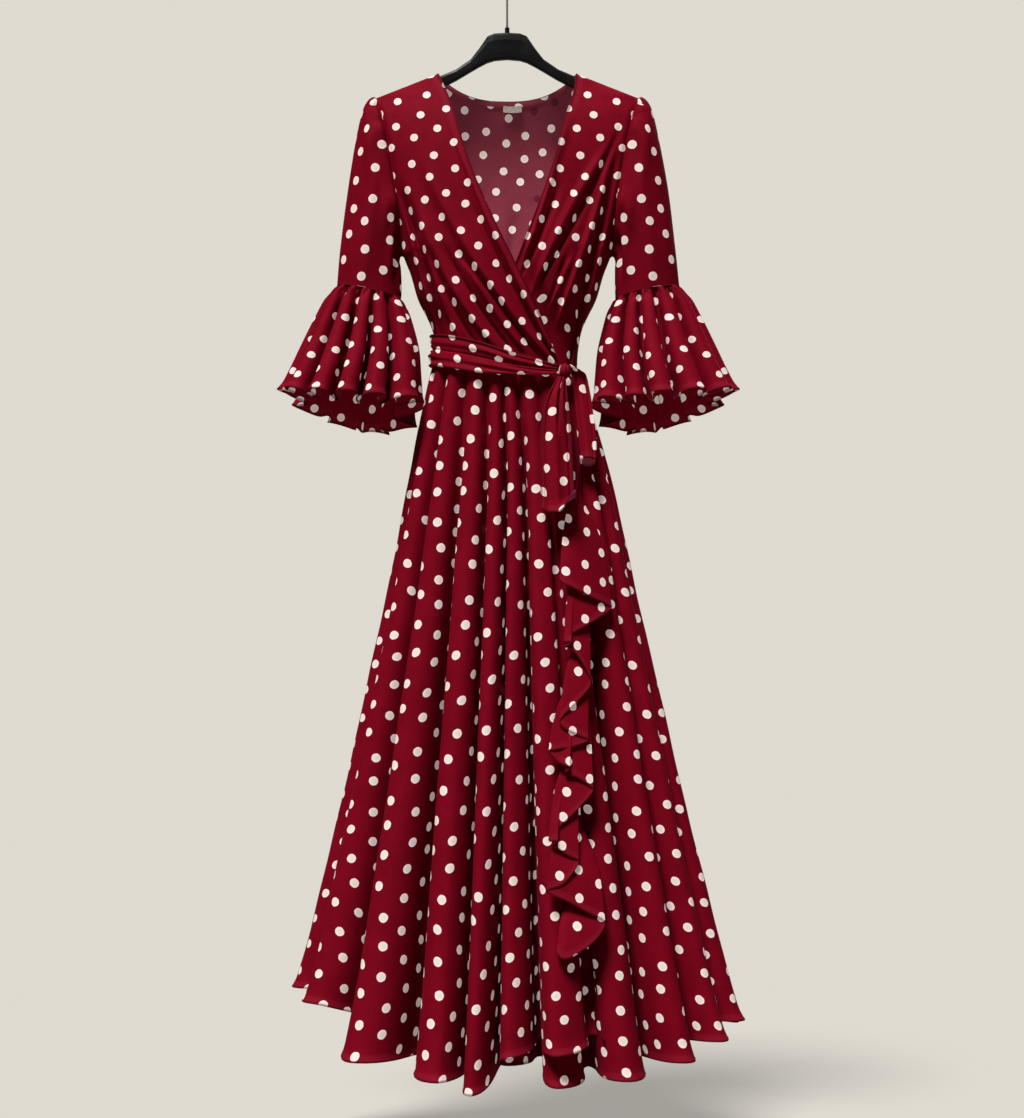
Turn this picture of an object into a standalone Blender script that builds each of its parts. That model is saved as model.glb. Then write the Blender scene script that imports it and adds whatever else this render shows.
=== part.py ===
"""Polka-dot wrap dress with bell flounce sleeves, hanging on a plastic hanger with a wire hook.

Metres, +Z up, the front faces -Y and the viewer's right is +X.  The origin is the top of the inside
of the hook, where the rail bears.  Every cloth piece is an open sheet worked out from its sizes and
given its wall by a Solidify modifier.
"""

import math

import bmesh
import bpy
import numpy as np
from mathutils.bvhtree import BVHTree

# ---------------------------------------------------------------- driving sizes
CLOTH = 0.0015            # wall of every cloth piece
SEAM = 0.0004             # gap left between two pieces at a seam

NECK_X = 0.0994           # half the width of the neck at the shoulder seams
NECK_Z = -0.1288
NECK_DIP = 0.0337         # how far the back neckline dips below the neck points
TIP_X = 0.1906            # shoulder tip, the top of the armhole
TIP_Z = -0.1654
PIT_X = 0.1514            # armpit, the bottom of the armhole
PIT_Z = -0.3960
ARMHOLE_DEEP = 0.039      # half the front-to-back size of the armhole
ARMHOLE_BOW = 0.007       # how far the cut of the armhole bows towards the chest

WAIST_A = 0.1018          # half width of the waist seam
WAIST_B = 0.0600          # half depth of the waist seam
WAIST_Z = -0.5530
WAIST_TILT = -0.1700      # the seam drops towards the knot: metres down per metre of x

HEM_B = 0.1820            # half depth over the folds at the hem
SKIRT_LONG = 1.0100       # waist seam to hem at the front
SWING_RIGHT = 0.0030      # how much further out the right cuff hangs
WAIST_ROUND = 0.5900      # length of cloth round the waist seam
HEM_ROUND = 3.2500        # length of cloth round the hem

RAIL_R = 0.0220           # inside radius of the hook
WIRE_R = 0.0015
COLLAR_R = 0.0034
COLLAR_HIGH = 0.0078
COLLAR_Z = -0.0646

# Half width of the side seam and the depth of the front and back at the middle, going down.
BODY = (
    ("z", "side", "front", "back"),
    (-0.1288, 0.0994, 0.0150, 0.0140),
    (-0.1654, 0.1906, 0.0310, 0.0250),
    (-0.1910, 0.1860, 0.0430, 0.0300),
    (-0.2330, 0.1810, 0.0560, 0.0400),
    (-0.3090, 0.1680, 0.0680, 0.0490),
    (-0.3960, 0.1492, 0.0740, 0.0550),
    (-0.4240, 0.1385, 0.0735, 0.0570),
    (-0.4580, 0.1285, 0.0715, 0.0585),
    (-0.5050, 0.1070, 0.0640, 0.0585),
    (-0.5300, 0.1022, 0.0610, 0.0580),
    (-0.6000, 0.1010, 0.0600, 0.0595),
)

# Edge of the top wrapped front, from the shoulder down to the knot.
EDGE_OVER = (
    ("x", "z"),
    (-0.0994, -0.1288),
    (-0.0761, -0.1922),
    (-0.0640, -0.2372),
    (-0.0515, -0.2780),
    (-0.0242, -0.3446),
    (0.0084, -0.4124),
    (0.0380, -0.4728),
    (0.0740, -0.5600),
)

# Edge of the wrapped front underneath, from the other shoulder down to where it is hidden.
EDGE_UNDER = (
    ("x", "z"),
    (0.0994, -0.1288),
    (0.0957, -0.1589),
    (0.0813, -0.2089),
    (0.0682, -0.2651),
    (0.0396, -0.3466),
    (0.0225, -0.3918),
    (0.0042, -0.4369),
    (-0.0300, -0.5420),
)

# Soft folds of the fronts and the back: a straight run from one end to the other, its half width and height.
FOLDS_OVER = (
    ("x0", "z0", "x1", "z1", "half", "high"),
    (0.0624, -0.5282, -0.1209, -0.4571, 0.0080, 0.0030),
    (0.0664, -0.5181, -0.1362, -0.4062, 0.0080, 0.0034),
    (0.0644, -0.5029, -0.1414, -0.3398, 0.0090, 0.0036),
    (0.0584, -0.4775, -0.1315, -0.2579, 0.0090, 0.0034),
    (0.0454, -0.4367, -0.1064, -0.2014, 0.0085, 0.0032),
)
FOLDS_UNDER = (
    ("x0", "z0", "x1", "z1", "half", "high"),
    (0.0705, -0.5130, 0.1011, -0.3091, 0.0070, 0.0030),
    (0.0404, -0.4011, 0.1266, -0.1962, 0.0080, 0.0032),
    (0.0504, -0.4418, 0.1416, -0.2681, 0.0080, 0.0032),
    (0.0855, -0.5232, 0.1363, -0.3705, 0.0080, 0.0032),
)
FOLDS_BACK = (
    ("x0", "z0", "x1", "z1", "half", "high"),
    (-0.0503, -0.5130, -0.1061, -0.3091, 0.0100, 0.0030),
    (0.0503, -0.5130, 0.1061, -0.3091, 0.0100, 0.0030),
    (0.000, -0.5232, 0.0101, -0.3091, 0.0100, 0.0026),
)

# Rings of the sleeve from the armhole to the cuff: outer and inner end of the ring, half depth.
SLEEVE = (
    ("out_x", "out_z", "in_x", "in_z", "deep"),
    (0.1913, -0.1654, 0.1536, -0.3960, 0.0390),
    (0.2030, -0.1712, 0.1550, -0.4000, 0.0425),
    (0.2105, -0.1900, 0.1558, -0.4065, 0.0440),
    (0.2195, -0.2340, 0.1558, -0.4180, 0.0430),
    (0.2300, -0.3017, 0.1550, -0.4310, 0.0410),
    (0.2405, -0.3850, 0.1542, -0.4460, 0.0390),
    (0.2447, -0.4390, 0.1530, -0.4580, 0.0370),
)

# Rings of the flounce over its folds, from the cuff to the hem: the ends and how far front and back drop.
FLOUNCE = (
    ("out_x", "out_z", "in_x", "in_z", "deep", "front_drop", "back_drop"),
    (0.2448, -0.4398, 0.1529, -0.4588, 0.0370, 0.0000, 0.0000),
    (0.2625, -0.4570, 0.1430, -0.4740, 0.0450, 0.0015, 0.0030),
    (0.2765, -0.4825, 0.1350, -0.4960, 0.0540, 0.0030, 0.0080),
    (0.2960, -0.5230, 0.1250, -0.5330, 0.0700, 0.0050, 0.0240),
    (0.3110, -0.5540, 0.1212, -0.5680, 0.0830, 0.0060, 0.0370),
    (0.3300, -0.5900, 0.1185, -0.6080, 0.0940, 0.0070, 0.0500),
)
FLOUNCE_ROUND = (0.2700, 0.9600)     # length of cloth round the flounce at the cuff and at its hem

# Folds of each flounce: place round it (0 outer side, 90 front, 180 by the body), ridge and valley share.
FLOUNCE_FOLDS_LEFT = (
    ("deg", "ridge", "valley"),
    (8, 0.90, 1.00),
    (37, 1.00, 1.00),
    (64, 0.90, 1.10),
    (90, 1.00, 1.00),
    (114, 0.95, 1.10),
    (146, 1.25, 0.90),
    (182, 0.90, 1.00),
    (216, 1.00, 1.00),
    (249, 0.90, 1.00),
    (282, 1.00, 1.00),
    (318, 0.95, 1.00),
)
FLOUNCE_FOLDS_RIGHT = (
    ("deg", "ridge", "valley"),
    (6, 0.90, 1.00),
    (36, 1.00, 1.10),
    (68, 1.00, 1.10),
    (97, 1.00, 1.00),
    (121, 0.85, 1.10),
    (147, 1.25, 0.90),
    (183, 0.90, 1.00),
    (214, 1.00, 1.00),
    (250, 0.90, 1.00),
    (285, 1.00, 1.00),
    (319, 0.90, 1.00),
)

# Folds of the skirt, from the left side round by the front: place at hem and waist, shares, hem height.
SKIRT_FOLDS = (
    ("hem_deg", "waist_deg", "ridge", "valley", "hem_z"),
    (-95.0, -92.0, 0.95, 1.00, -1.4400),
    (-66.0, -68.0, 1.00, 1.00, -1.4850),
    (-43.5, -46.0, 1.05, 1.10, -1.5330),
    (-21.5, -24.0, 0.95, 1.00, -1.5550),
    (-9.5, -9.0, 1.00, 1.00, -1.5670),
    (1.5, 3.0, 0.90, 1.00, -1.5380),
    (13.5, 17.0, 1.00, 0.90, -1.5600),
    (28.0, 33.0, 0.95, 1.00, -1.5560),
    (44.0, 49.0, 0.90, 1.00, -1.5280),
    (65.0, 68.0, 1.05, 1.00, -1.5030),
    (91.0, 90.0, 1.00, 1.00, -1.4900),
    (113.0, 111.0, 1.00, 1.00, -1.5050),
    (131.0, 130.0, 1.00, 1.00, -1.5300),
    (148.0, 147.0, 0.95, 1.00, -1.5480),
    (163.0, 162.0, 1.05, 1.00, -1.5560),
    (178.0, 178.0, 1.00, 1.00, -1.5600),
    (193.0, 194.0, 0.95, 1.00, -1.5570),
    (209.0, 211.0, 1.05, 1.00, -1.5450),
    (227.0, 229.0, 1.00, 1.00, -1.5150),
    (246.0, 248.0, 0.95, 1.00, -1.4750),
)
# Half width over the folds and the middle of the skirt, by share of the way down from the waist.
SKIRT_SIDE = (
    ("v", "half", "middle"),
    (0.000, 0.1018, 0.0000),
    (0.060, 0.1190, 0.0030),
    (0.115, 0.1320, 0.0060),
    (0.211, 0.1510, 0.0085),
    (0.371, 0.1805, 0.0100),
    (0.583, 0.2235, 0.0115),
    (0.796, 0.2695, 0.0135),
    (0.934, 0.3020, 0.0150),
    (1.000, 0.3200, 0.0160),
)
SEAM_LEFT = 0.27          # side seams, counted in folds from the first row of the table
SEAM_RIGHT = 9.73
UNDER_END = 4.75          # where the hidden edge of the wrapped panel underneath hangs
UNDER_IN = 0.0130         # how far that panel hangs inside the top one

# The wrap edge down the skirt, counted in folds, and how high its hem is lifted there.
WRAP = (
    ("v", "at"),
    (0.00, 8.50),
    (0.12, 7.95),
    (0.25, 7.45),
    (0.37, 7.22),
    (0.45, 7.15),
    (0.60, 6.94),
    (0.75, 6.80),
    (0.85, 6.74),
    (1.00, 6.76),
)
WRAP_LIFT = 0.0500

# The cascade down the wrap edge: how the free edge leans (15 away from the panel, 90 straight out, 160 back).
CASCADE = (
    ("v", "lean", "wide", "drop"),
    (0.255, 100, 0.022, 0.000),
    (0.305, 186, 0.060, 0.012),
    (0.335, 60, 0.060, 0.022),
    (0.385, 182, 0.064, 0.012),
    (0.425, 90, 0.034, 0.010),
    (0.455, 85, 0.032, 0.010),
    (0.530, 188, 0.074, 0.018),
    (0.578, 48, 0.056, 0.026),
    (0.650, 184, 0.074, 0.014),
    (0.690, 130, 0.064, 0.010),
    (0.722, 190, 0.076, 0.018),
    (0.757, 44, 0.060, 0.026),
    (0.815, 175, 0.050, 0.010),
    (0.845, 90, 0.012, 0.002),
)

# The sash: place round the waist from the knot, past the left side and back, with its top and bottom edge.
SASH = (
    ("deg", "top", "bottom", "out"),
    (42.3, -0.5635, -0.5755, 0.0095),
    (34.0, -0.5600, -0.5775, 0.0080),
    (22.0, -0.5540, -0.5790, 0.0070),
    (6.0, -0.5480, -0.5790, 0.0070),
    (-18.0, -0.5332, -0.5765, 0.0070),
    (-43.0, -0.5213, -0.5680, 0.0070),
    (-90.0, -0.5120, -0.5565, 0.0063),
    (-130.0, -0.5180, -0.5600, 0.0070),
    (-180.0, -0.5310, -0.5710, 0.0070),
    (-230.0, -0.5450, -0.5780, 0.0070),
    (-270.0, -0.5550, -0.5790, 0.0070),
    (-290.0, -0.5600, -0.5780, 0.0075),
    (-297.0, -0.5640, -0.5770, 0.0085),
)
SASH_FLARE = 0.0045       # how far the sash stands out at its lower edge, over the skirt
SASH_LIP = 0.0022         # and at its upper edge, over the bodice
KNOT = {"x": 0.0820, "z": -0.5715, "wide": 0.0150, "deep": 0.0095, "high": 0.0095}

# The two ends of the sash: edges of the hanging strip, and how far it stands off the skirt.
TAIL_LONG = (
    ("z", "left", "right", "off"),
    (-0.5815, 0.0705, 0.0820, 0.0105),
    (-0.6110, 0.0559, 0.0845, 0.0120),
    (-0.6600, 0.0465, 0.0890, 0.0120),
    (-0.7150, 0.0460, 0.0915, 0.0130),
    (-0.7700, 0.0470, 0.0935, 0.0150),
)
TAIL_SHORT = (
    ("z", "left", "right", "off"),
    (-0.5690, 0.0899, 0.1000, 0.0195),
    (-0.5990, 0.0920, 0.1175, 0.0150),
    (-0.6484, 0.0955, 0.1245, 0.0120),
    (-0.7000, 0.1010, 0.1250, 0.0140),
)

# The hanger from its middle to the tip of an arm: top and bottom edge and half thickness.
HANGER = (
    ("x", "top", "bottom", "half"),
    (0.0000, -0.0684, -0.1081, 0.0065),
    (0.0183, -0.0694, -0.1097, 0.0065),
    (0.0284, -0.0735, -0.1128, 0.0064),
    (0.0406, -0.0916, -0.1190, 0.0062),
    (0.0528, -0.1076, -0.1262, 0.0060),
    (0.0741, -0.1225, -0.1391, 0.0056),
    (0.0994, -0.1332, -0.1520, 0.0040),
    (0.1420, -0.1504, -0.1684, 0.0040),
    (0.1724, -0.1635, -0.1777, 0.0036),
    (0.1815, -0.1705, -0.1777, 0.0028),
)

LABEL = {"wide": 0.0270, "high": 0.0095, "thick": 0.0010, "x": 0.0077, "z": -0.1738}
BAND_HIGH = 0.0055


# ---------------------------------------------------------------- helpers
def columns(table):
    """A table whose first row names its columns, as one array of numbers per name."""
    head = table[0]
    rows = np.array(table[1:], dtype=float)
    return {name: rows[:, i] for i, name in enumerate(head)}


def smooth(x, xs, ys):
    """A curve through the table's points whose slope at each is the mean slope of its neighbours."""
    xs = np.asarray(xs, dtype=float)
    ys = np.asarray(ys, dtype=float)
    x = np.clip(np.asarray(x, dtype=float), xs[0], xs[-1])
    slope = np.gradient(ys, xs)
    i = np.clip(np.searchsorted(xs, x) - 1, 0, len(xs) - 2)
    step = xs[i + 1] - xs[i]
    f = (x - xs[i]) / step
    start = (2 * f**3 - 3 * f**2 + 1) * ys[i] + (f**3 - 2 * f**2 + f) * step * slope[i]
    return start + (3 * f**2 - 2 * f**3) * ys[i + 1] + (f**3 - f**2) * step * slope[i + 1]


def ease(low, high, x):
    """0 below low, 1 above high and a soft step between."""
    f = np.clip((x - low) / (high - low), 0.0, 1.0)
    return f * f * (3 - 2 * f)


def stack(x, y, z):
    """Three arrays of coordinates as one grid of points."""
    return np.stack(np.broadcast_arrays(x, y, z), axis=-1).astype(float)


def grid_faces(rows, cols, closed):
    """Four-sided faces between neighbouring rows and columns, joined round where the grid is closed."""
    i, j = np.meshgrid(np.arange(rows - 1), np.arange(cols if closed else cols - 1), indexing="ij")
    k = (j + 1) % cols
    return np.stack([i * cols + j, (i + 1) * cols + j, (i + 1) * cols + k, i * cols + k], -1).reshape(-1, 4)


def collection(name):
    made = bpy.data.collections.new(name)
    bpy.context.scene.collection.children.link(made)
    return made


def material(name, colour, roughness, metallic=0.0):
    """A plain Principled material of one colour."""
    made = bpy.data.materials.new(name)
    made.use_nodes = True
    shader = made.node_tree.nodes["Principled BSDF"]
    shader.inputs["Base Color"].default_value = (*colour, 1.0)
    shader.inputs["Roughness"].default_value = roughness
    shader.inputs["Metallic"].default_value = metallic
    return made


def add(name, mesh, mat):
    obj = bpy.data.objects.new(name, mesh)
    mesh.materials.append(mat)
    HOME.objects.link(obj)
    return obj


def face_out(mesh):
    """Turn every face of a mesh the same way round."""
    bm = bmesh.new()
    bm.from_mesh(mesh)
    bmesh.ops.recalc_face_normals(bm, faces=bm.faces)
    bm.to_mesh(mesh)
    bm.free()


def sheet(name, points, mat, closed=False, thick=CLOTH):
    """A cloth piece: the grid as an open sheet, given its wall half each way."""
    rows, cols = points.shape[:2]
    mesh = bpy.data.meshes.new(name)
    mesh.from_pydata(points.reshape(-1, 3).tolist(), [], grid_faces(rows, cols, closed).tolist())
    mesh.update()
    obj = add(name, mesh, mat)
    wall = obj.modifiers.new("wall", "SOLIDIFY")
    wall.thickness = thick
    wall.offset = 0.0
    return obj


def loft(name, rings, mat):
    """A solid through closed rings, capped at both ends."""
    rows, cols = rings.shape[:2]
    faces = grid_faces(rows, cols, True).tolist()
    faces.append(list(range(cols)))
    faces.append(list(range((rows - 1) * cols, rows * cols))[::-1])
    mesh = bpy.data.meshes.new(name)
    mesh.from_pydata(rings.reshape(-1, 3).tolist(), [], faces)
    face_out(mesh)
    return add(name, mesh, mat)


# ---------------------------------------------------------------- bodice
def armhole(phi, side, grow=0.0):
    """The armhole: 0 the shoulder tip, half a turn the armpit, the front half towards -Y."""
    c = np.cos(phi)
    x = (TIP_X + PIT_X) / 2 + c * (TIP_X - PIT_X) / 2 - ARMHOLE_BOW * np.sin(phi) ** 2
    y = -ARMHOLE_DEEP * np.sin(phi)
    z = (TIP_Z + PIT_Z) / 2 + c * (TIP_Z - PIT_Z) / 2
    return stack(side * (x + grow), y, z)


def waist_z(x):
    return WAIST_Z + WAIST_TILT * x


def outline(z):
    """Half width and edge depth of the body at each height: shoulder seam, armhole, side seam."""
    body = columns(BODY)
    side = smooth(-z, -body["z"], body["side"])
    c = np.clip((z - (TIP_Z + PIT_Z) / 2) / ((TIP_Z - PIT_Z) / 2), -1, 1)
    cut = np.sqrt(1 - c * c)
    hole = (TIP_X + PIT_X) / 2 + c * (TIP_X - PIT_X) / 2 - ARMHOLE_BOW * cut**2
    seam = NECK_X + (NECK_Z - z) * (TIP_X - NECK_X) / (NECK_Z - TIP_Z)
    half = np.where(z > TIP_Z, seam, np.where(z > PIT_Z, hole, np.minimum(side, PIT_X)))
    edge = np.where((z < TIP_Z) & (z > PIT_Z), ARMHOLE_DEEP * cut, 0.0)
    return half, edge + SEAM / 2 + CLOTH * 0.5


def depth(x, z, part):
    """How far the front or back stands off the middle plane at a place seen from the front.

    From the edge depth at the outline it swells to the depth of the middle along a rounded curve."""
    body = columns(BODY)
    half, edge = outline(z)
    middle = smooth(-z, -body["z"], body[part])
    s = np.clip(1 - np.abs(x) / half, 0, 1)
    return edge + np.maximum(middle - edge, 0) * (1 - (1 - s) ** 2.3) ** (1 / 2.3)


def soft_folds(x, z, table):
    """Height of the folds: across each one a smooth hump, dying out at both its ends."""
    f = columns(table)
    dx, dz = f["x1"] - f["x0"], f["z1"] - f["z0"]
    long = np.hypot(dx, dz)
    px, pz = x[..., None] - f["x0"], z[..., None] - f["z0"]
    along = (px * dx + pz * dz) / long**2
    across = (px * dz - pz * dx) / long
    hump = np.exp(-((across / f["half"]) ** 2)) * ease(-0.1, 0.2, along) * (1 - ease(0.75, 1.1, along))
    return (f["high"] * hump).sum(axis=-1)


def along_table(table, f):
    """Points at the shares f of the length of a table's x, z line."""
    t = columns(table)
    run = np.concatenate([[0], np.cumsum(np.hypot(np.diff(t["x"]), np.diff(t["z"])))])
    run = run / run[-1]
    return smooth(f, run, t["x"]), smooth(f, run, t["z"])


def front_panel(name, edge, side, inset, folds, mat, rows=12, cols=10):
    """One wrapped front: rows from the shoulder seam to the waist, columns from armhole to free edge."""
    v = np.linspace(0, 1, rows)[:, None]
    u = (np.linspace(0, 1, cols) ** 1.5)[None, :]
    end_x = side * WAIST_A
    out_z = TIP_Z + (waist_z(end_x) + SEAM - TIP_Z) * v
    in_x, in_z = along_table(edge, v)
    half, _ = outline(out_z)
    x = side * half * (1 - u) + in_x * u
    z = out_z * (1 - u) + in_z * u
    low = waist_z(x) + SEAM
    z = np.maximum(z, low + (1 - v) * 0.001)
    z[-1] = low[-1]
    over = columns(EDGE_OVER)
    covered = (1 - ease(0.010, 0.040, x - smooth(-z, -over["z"], over["x"]))) * np.minimum(1, 3 * u)
    y = -depth(x, z, "front") - soft_folds(x, z, folds) * np.minimum(1, u * 4) + inset * covered
    return sheet(name, stack(x, y, z), mat)


def back_grid(rows=10, cols=17):
    """The back in one piece, its top edge running tip, shoulder seam, neckline, seam, tip."""
    xi = np.linspace(-1, 1, cols)[None, :]
    xi = np.sign(xi) * (1 - (1 - np.abs(xi)) ** 1.25)
    v = np.concatenate([[0.0], np.linspace(BAND_HIGH / (TIP_Z - WAIST_Z), 1, rows - 1)])[:, None]
    xi, v = np.broadcast_arrays(xi, v)
    low = waist_z(xi * WAIST_A) + SEAM
    out_z = TIP_Z + (low - TIP_Z) * v
    half, _ = outline(out_z)
    top_x = xi * TIP_X
    x = xi * half
    rise = top_z(top_x) - TIP_Z
    z = out_z + rise * (1 - v) ** 2
    z = np.minimum(z, top_z(x))
    y = depth(x, z, "back") + soft_folds(x, z, FOLDS_BACK)
    return stack(x, y, z)


def top_z(x):
    """Height of the top edge of the back: the shoulder seams, and the neckline dipping between them."""
    seam = NECK_Z - (np.abs(x) - NECK_X) * (NECK_Z - TIP_Z) / (TIP_X - NECK_X)
    dip = NECK_Z - NECK_DIP * (1 - np.clip(np.abs(x) / NECK_X, 0, 1) ** 2.6)
    return np.where(np.abs(x) >= NECK_X, seam, dip)


def neck_band(mat):
    """A narrow band inside the back neckline, made from the points of the back moved in."""
    top = back_grid()[:2]
    inside = np.abs(top[0, :, 0]) < NECK_X * 0.97
    band = top[:, inside] - (0.0, CLOTH + SEAM, 0.0003)
    return sheet("neck_band", band, mat)


def neck_label(mat, back):
    """The small woven label, a flat tab sewn below the band, laid against the inside of the back."""
    tree = BVHTree.FromObject(back, bpy.context.evaluated_depsgraph_get())
    x = LABEL["x"] + np.linspace(-0.5, 0.5, 5)[None, :] * LABEL["wide"]
    z = LABEL["z"] + np.linspace(0.5, -0.5, 2)[:, None] * LABEL["high"]
    x, z = np.broadcast_arrays(x, z)
    hit = [tree.ray_cast((a, -0.5, b), (0, 1, 0))[0].y for a, b in zip(x.reshape(-1), z.reshape(-1))]
    y = np.array(hit).reshape(x.shape) - LABEL["thick"] / 2 - SEAM
    return sheet("neck_label", stack(x, y.min(axis=0) + 0 * y, z), mat, thick=LABEL["thick"])


# ---------------------------------------------------------------- sleeves
def ring(table, v, phi, side):
    """The ring at the share v down a table: an oval with one diameter from its outer to its inner end."""
    t = columns(table)
    at = np.linspace(0, 1, len(t["deep"]))
    c, s = np.cos(phi), np.sin(phi)
    out_x, out_z = smooth(v, at, t["out_x"]), smooth(v, at, t["out_z"])
    in_x, in_z = smooth(v, at, t["in_x"]), smooth(v, at, t["in_z"])
    x = (out_x + in_x) / 2 + c * (out_x - in_x) / 2
    z = (out_z + in_z) / 2 + c * (out_z - in_z) / 2
    return stack(side * x, -smooth(v, at, t["deep"]) * s, z)


def sleeve(name, side, mat, rows=7, cols=18):
    v = np.linspace(0, 1, rows)[:, None]
    phi = np.linspace(0, 2 * np.pi, cols, endpoint=False)[None, :]
    points = ring(SLEEVE, v, phi, side)
    points[..., 0] += SWING_RIGHT * max(side, 0) * v
    points[..., 0] -= side * ARMHOLE_BOW * np.sin(phi) ** 2 * (1 - ease(0, 0.35, v))
    return sheet(name, points, mat, closed=True)


# ---------------------------------------------------------------- folds round a ring
def fold_wave(t, deg, ridge, valley):
    """Folds counted by t, a ridge at each whole number and a valley half way on.

    Gives the place round the ring, how far the cloth stands out (ridge +, valley -) and the sideways
    roll that makes the ridges wide and the valleys narrow."""
    n = len(deg)
    here = np.radians(deg)
    after = np.roll(here, -1) + np.where(np.arange(n) == n - 1, 2 * np.pi, 0)
    place = np.stack([here, (here + after) / 2], axis=-1).reshape(-1)
    out = np.stack([ridge, -valley], axis=-1).reshape(-1)
    j = np.floor(2 * t).astype(int)
    f = 2 * t - j
    a0 = place[j % (2 * n)] + 2 * np.pi * (j // (2 * n))
    a1 = place[(j + 1) % (2 * n)] + 2 * np.pi * ((j + 1) // (2 * n))
    e0, e1 = out[j % (2 * n)], out[(j + 1) % (2 * n)]
    height = e0 + (e1 - e0) * (1 - np.cos(np.pi * f)) / 2
    roll = (a1 - a0) * np.sin(2 * np.pi * t) / np.pi
    return a0 + (a1 - a0) * f, height, roll


def oval(angle, a, b):
    """A point of the oval (0 front, a quarter turn the viewer's right) and its outward direction."""
    s, c = np.sin(angle), np.cos(angle)
    nx, ny = b * s, -a * c
    size = np.hypot(nx, ny)
    return a * s, -b * c, nx / size, ny / size


def length_round(x, y):
    """Length of closed lines, one to a row."""
    dx = np.roll(x, -1, axis=1) - x
    dy = np.roll(y, -1, axis=1) - y
    return np.hypot(dx, dy).sum(axis=1, keepdims=True)


def solve_height(shape, wanted, most):
    """The fold height that makes each ring as long as its cloth, found by halving."""
    low = np.zeros_like(wanted)
    high = np.full_like(wanted, most)
    for _ in range(24):
        mid = (low + high) / 2
        short = length_round(*shape(mid)) < wanted
        low = np.where(short, mid, low)
        high = np.where(short, high, mid)
    return (low + high) / 2


# ---------------------------------------------------------------- skirt
FOLD = columns(SKIRT_FOLDS)
SIDE = columns(SKIRT_SIDE)
LEVELS = np.linspace(0, 1, 21)[:, None]
ROLL = (0.30, 0.62)       # how much the folds roll over at the waist and at the hem


def skirt_place(t, v, valley=None):
    """Place round the skirt, height of the fold and its roll at fold count t and share v down."""
    deep = FOLD["valley"] if valley is None else valley
    a0, e, r0 = fold_wave(t, FOLD["waist_deg"], FOLD["ridge"], deep)
    a1, _, r1 = fold_wave(t, FOLD["hem_deg"], FOLD["ridge"], deep)
    roll = ROLL[0] + (ROLL[1] - ROLL[0]) * v
    return a0 * (1 - v) + a1 * v + roll * (r0 * (1 - v) + r1 * v), e


def skirt_ring(t, v, high, valley=None):
    angle, e = skirt_place(t, v, valley)
    a = smooth(v, SIDE["v"], SIDE["half"]) - high
    b = WAIST_B + 0.001 + (HEM_B - WAIST_B) * v - high
    x, y, nx, ny = oval(angle, a, b)
    return x + nx * high * e, y + ny * high * e, nx, ny


def cloth_round(v):
    return WAIST_ROUND + (HEM_ROUND - WAIST_ROUND) * v


FINE = np.arange(0, len(FOLD["hem_deg"]), 1 / 24)[None, :]
HIGH = solve_height(lambda h: skirt_ring(FINE, LEVELS, h)[:2], cloth_round(LEVELS), 0.080)


def skirt(t, v, inset=0.0, valley=None):
    """A point of the skirt at fold count t and share v down from the waist seam."""
    high = smooth(v, LEVELS[:, 0], HIGH[:, 0])
    x, y, nx, ny = skirt_ring(t, v, high, valley)
    x = x - nx * inset + smooth(v, SIDE["v"], SIDE["middle"])
    y = y - ny * inset
    hem = fold_wave(t, FOLD["hem_deg"], FOLD["hem_z"], -(FOLD["hem_z"] + np.roll(FOLD["hem_z"], -1)) / 2)[1]
    top = waist_z(x * (1 - v)) - SEAM
    return x, y, top + (hem - top) * v


def fold_counts(start, end, per=(0.0, 0.15, 0.35, 0.5, 0.65, 0.85)):
    """Fold counts from start to end, taking the same places in every fold."""
    every = (np.arange(int(start), int(end) + 2)[:, None] + np.array(per)[None, :]).reshape(-1)
    inside = every[(every > start + 0.05) & (every < end - 0.05)]
    return np.concatenate([[start], inside, [end]])


def nudge(t, v, by):
    """The small change of fold count that moves a seam edge by a length."""
    x0, y0, _ = skirt(t - 0.01, v)
    x1, y1, _ = skirt(t + 0.01, v)
    return by * 0.02 / np.maximum(np.hypot(x1 - x0, y1 - y0), 1e-5)


def wrap_at(v):
    w = columns(WRAP)
    return smooth(v, w["v"], w["at"])


def over_valley():
    """Valley shares of the top panel, whose last valleys are shallow beside the wrap edge."""
    deep = FOLD["valley"].copy()
    deep[5:10] = (0.75, -0.35, -0.35, -0.20, 0.20)
    return deep


def over(t, v):
    """A point of the top panel: its hem lifts towards the wrap edge."""
    x, y, z = skirt(t, v, 0.0, over_valley())
    lift = WRAP_LIFT * ease(4.4, 6.4, t) * v**2
    return stack(x, y, z + lift)


def skirt_rows(count):
    return (np.linspace(0, 1, count) ** 0.9)[:, None]


def skirt_front_over(mat, rows=7):
    v = skirt_rows(rows)
    fixed = fold_counts(SEAM_LEFT, 5.5)[None, :]
    moving = np.linspace(0, 1, 13)[None, 1:]
    left = fixed + (fixed == SEAM_LEFT) * nudge(SEAM_LEFT, v, SEAM / 2)
    right = 5.5 + (wrap_at(v) - 5.5) * moving
    t = np.concatenate([left, right], axis=1)
    return sheet("skirt_front_over", over(t, v), mat)


def skirt_front_under(mat, rows=7):
    v = skirt_rows(rows)
    t = fold_counts(UNDER_END, SEAM_RIGHT)[None, :]
    t = t - (t == SEAM_RIGHT) * nudge(SEAM_RIGHT, v, SEAM / 2)
    deep = 0.0052 + (UNDER_IN - 0.0052) * ease(0.0, 0.25, v)
    inset = deep * (1 - ease(0.25, 0.9, t - wrap_at(v)))
    x, y, z = skirt(t, v, inset)
    return sheet("skirt_front_under", stack(x, y, z), mat)


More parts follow.
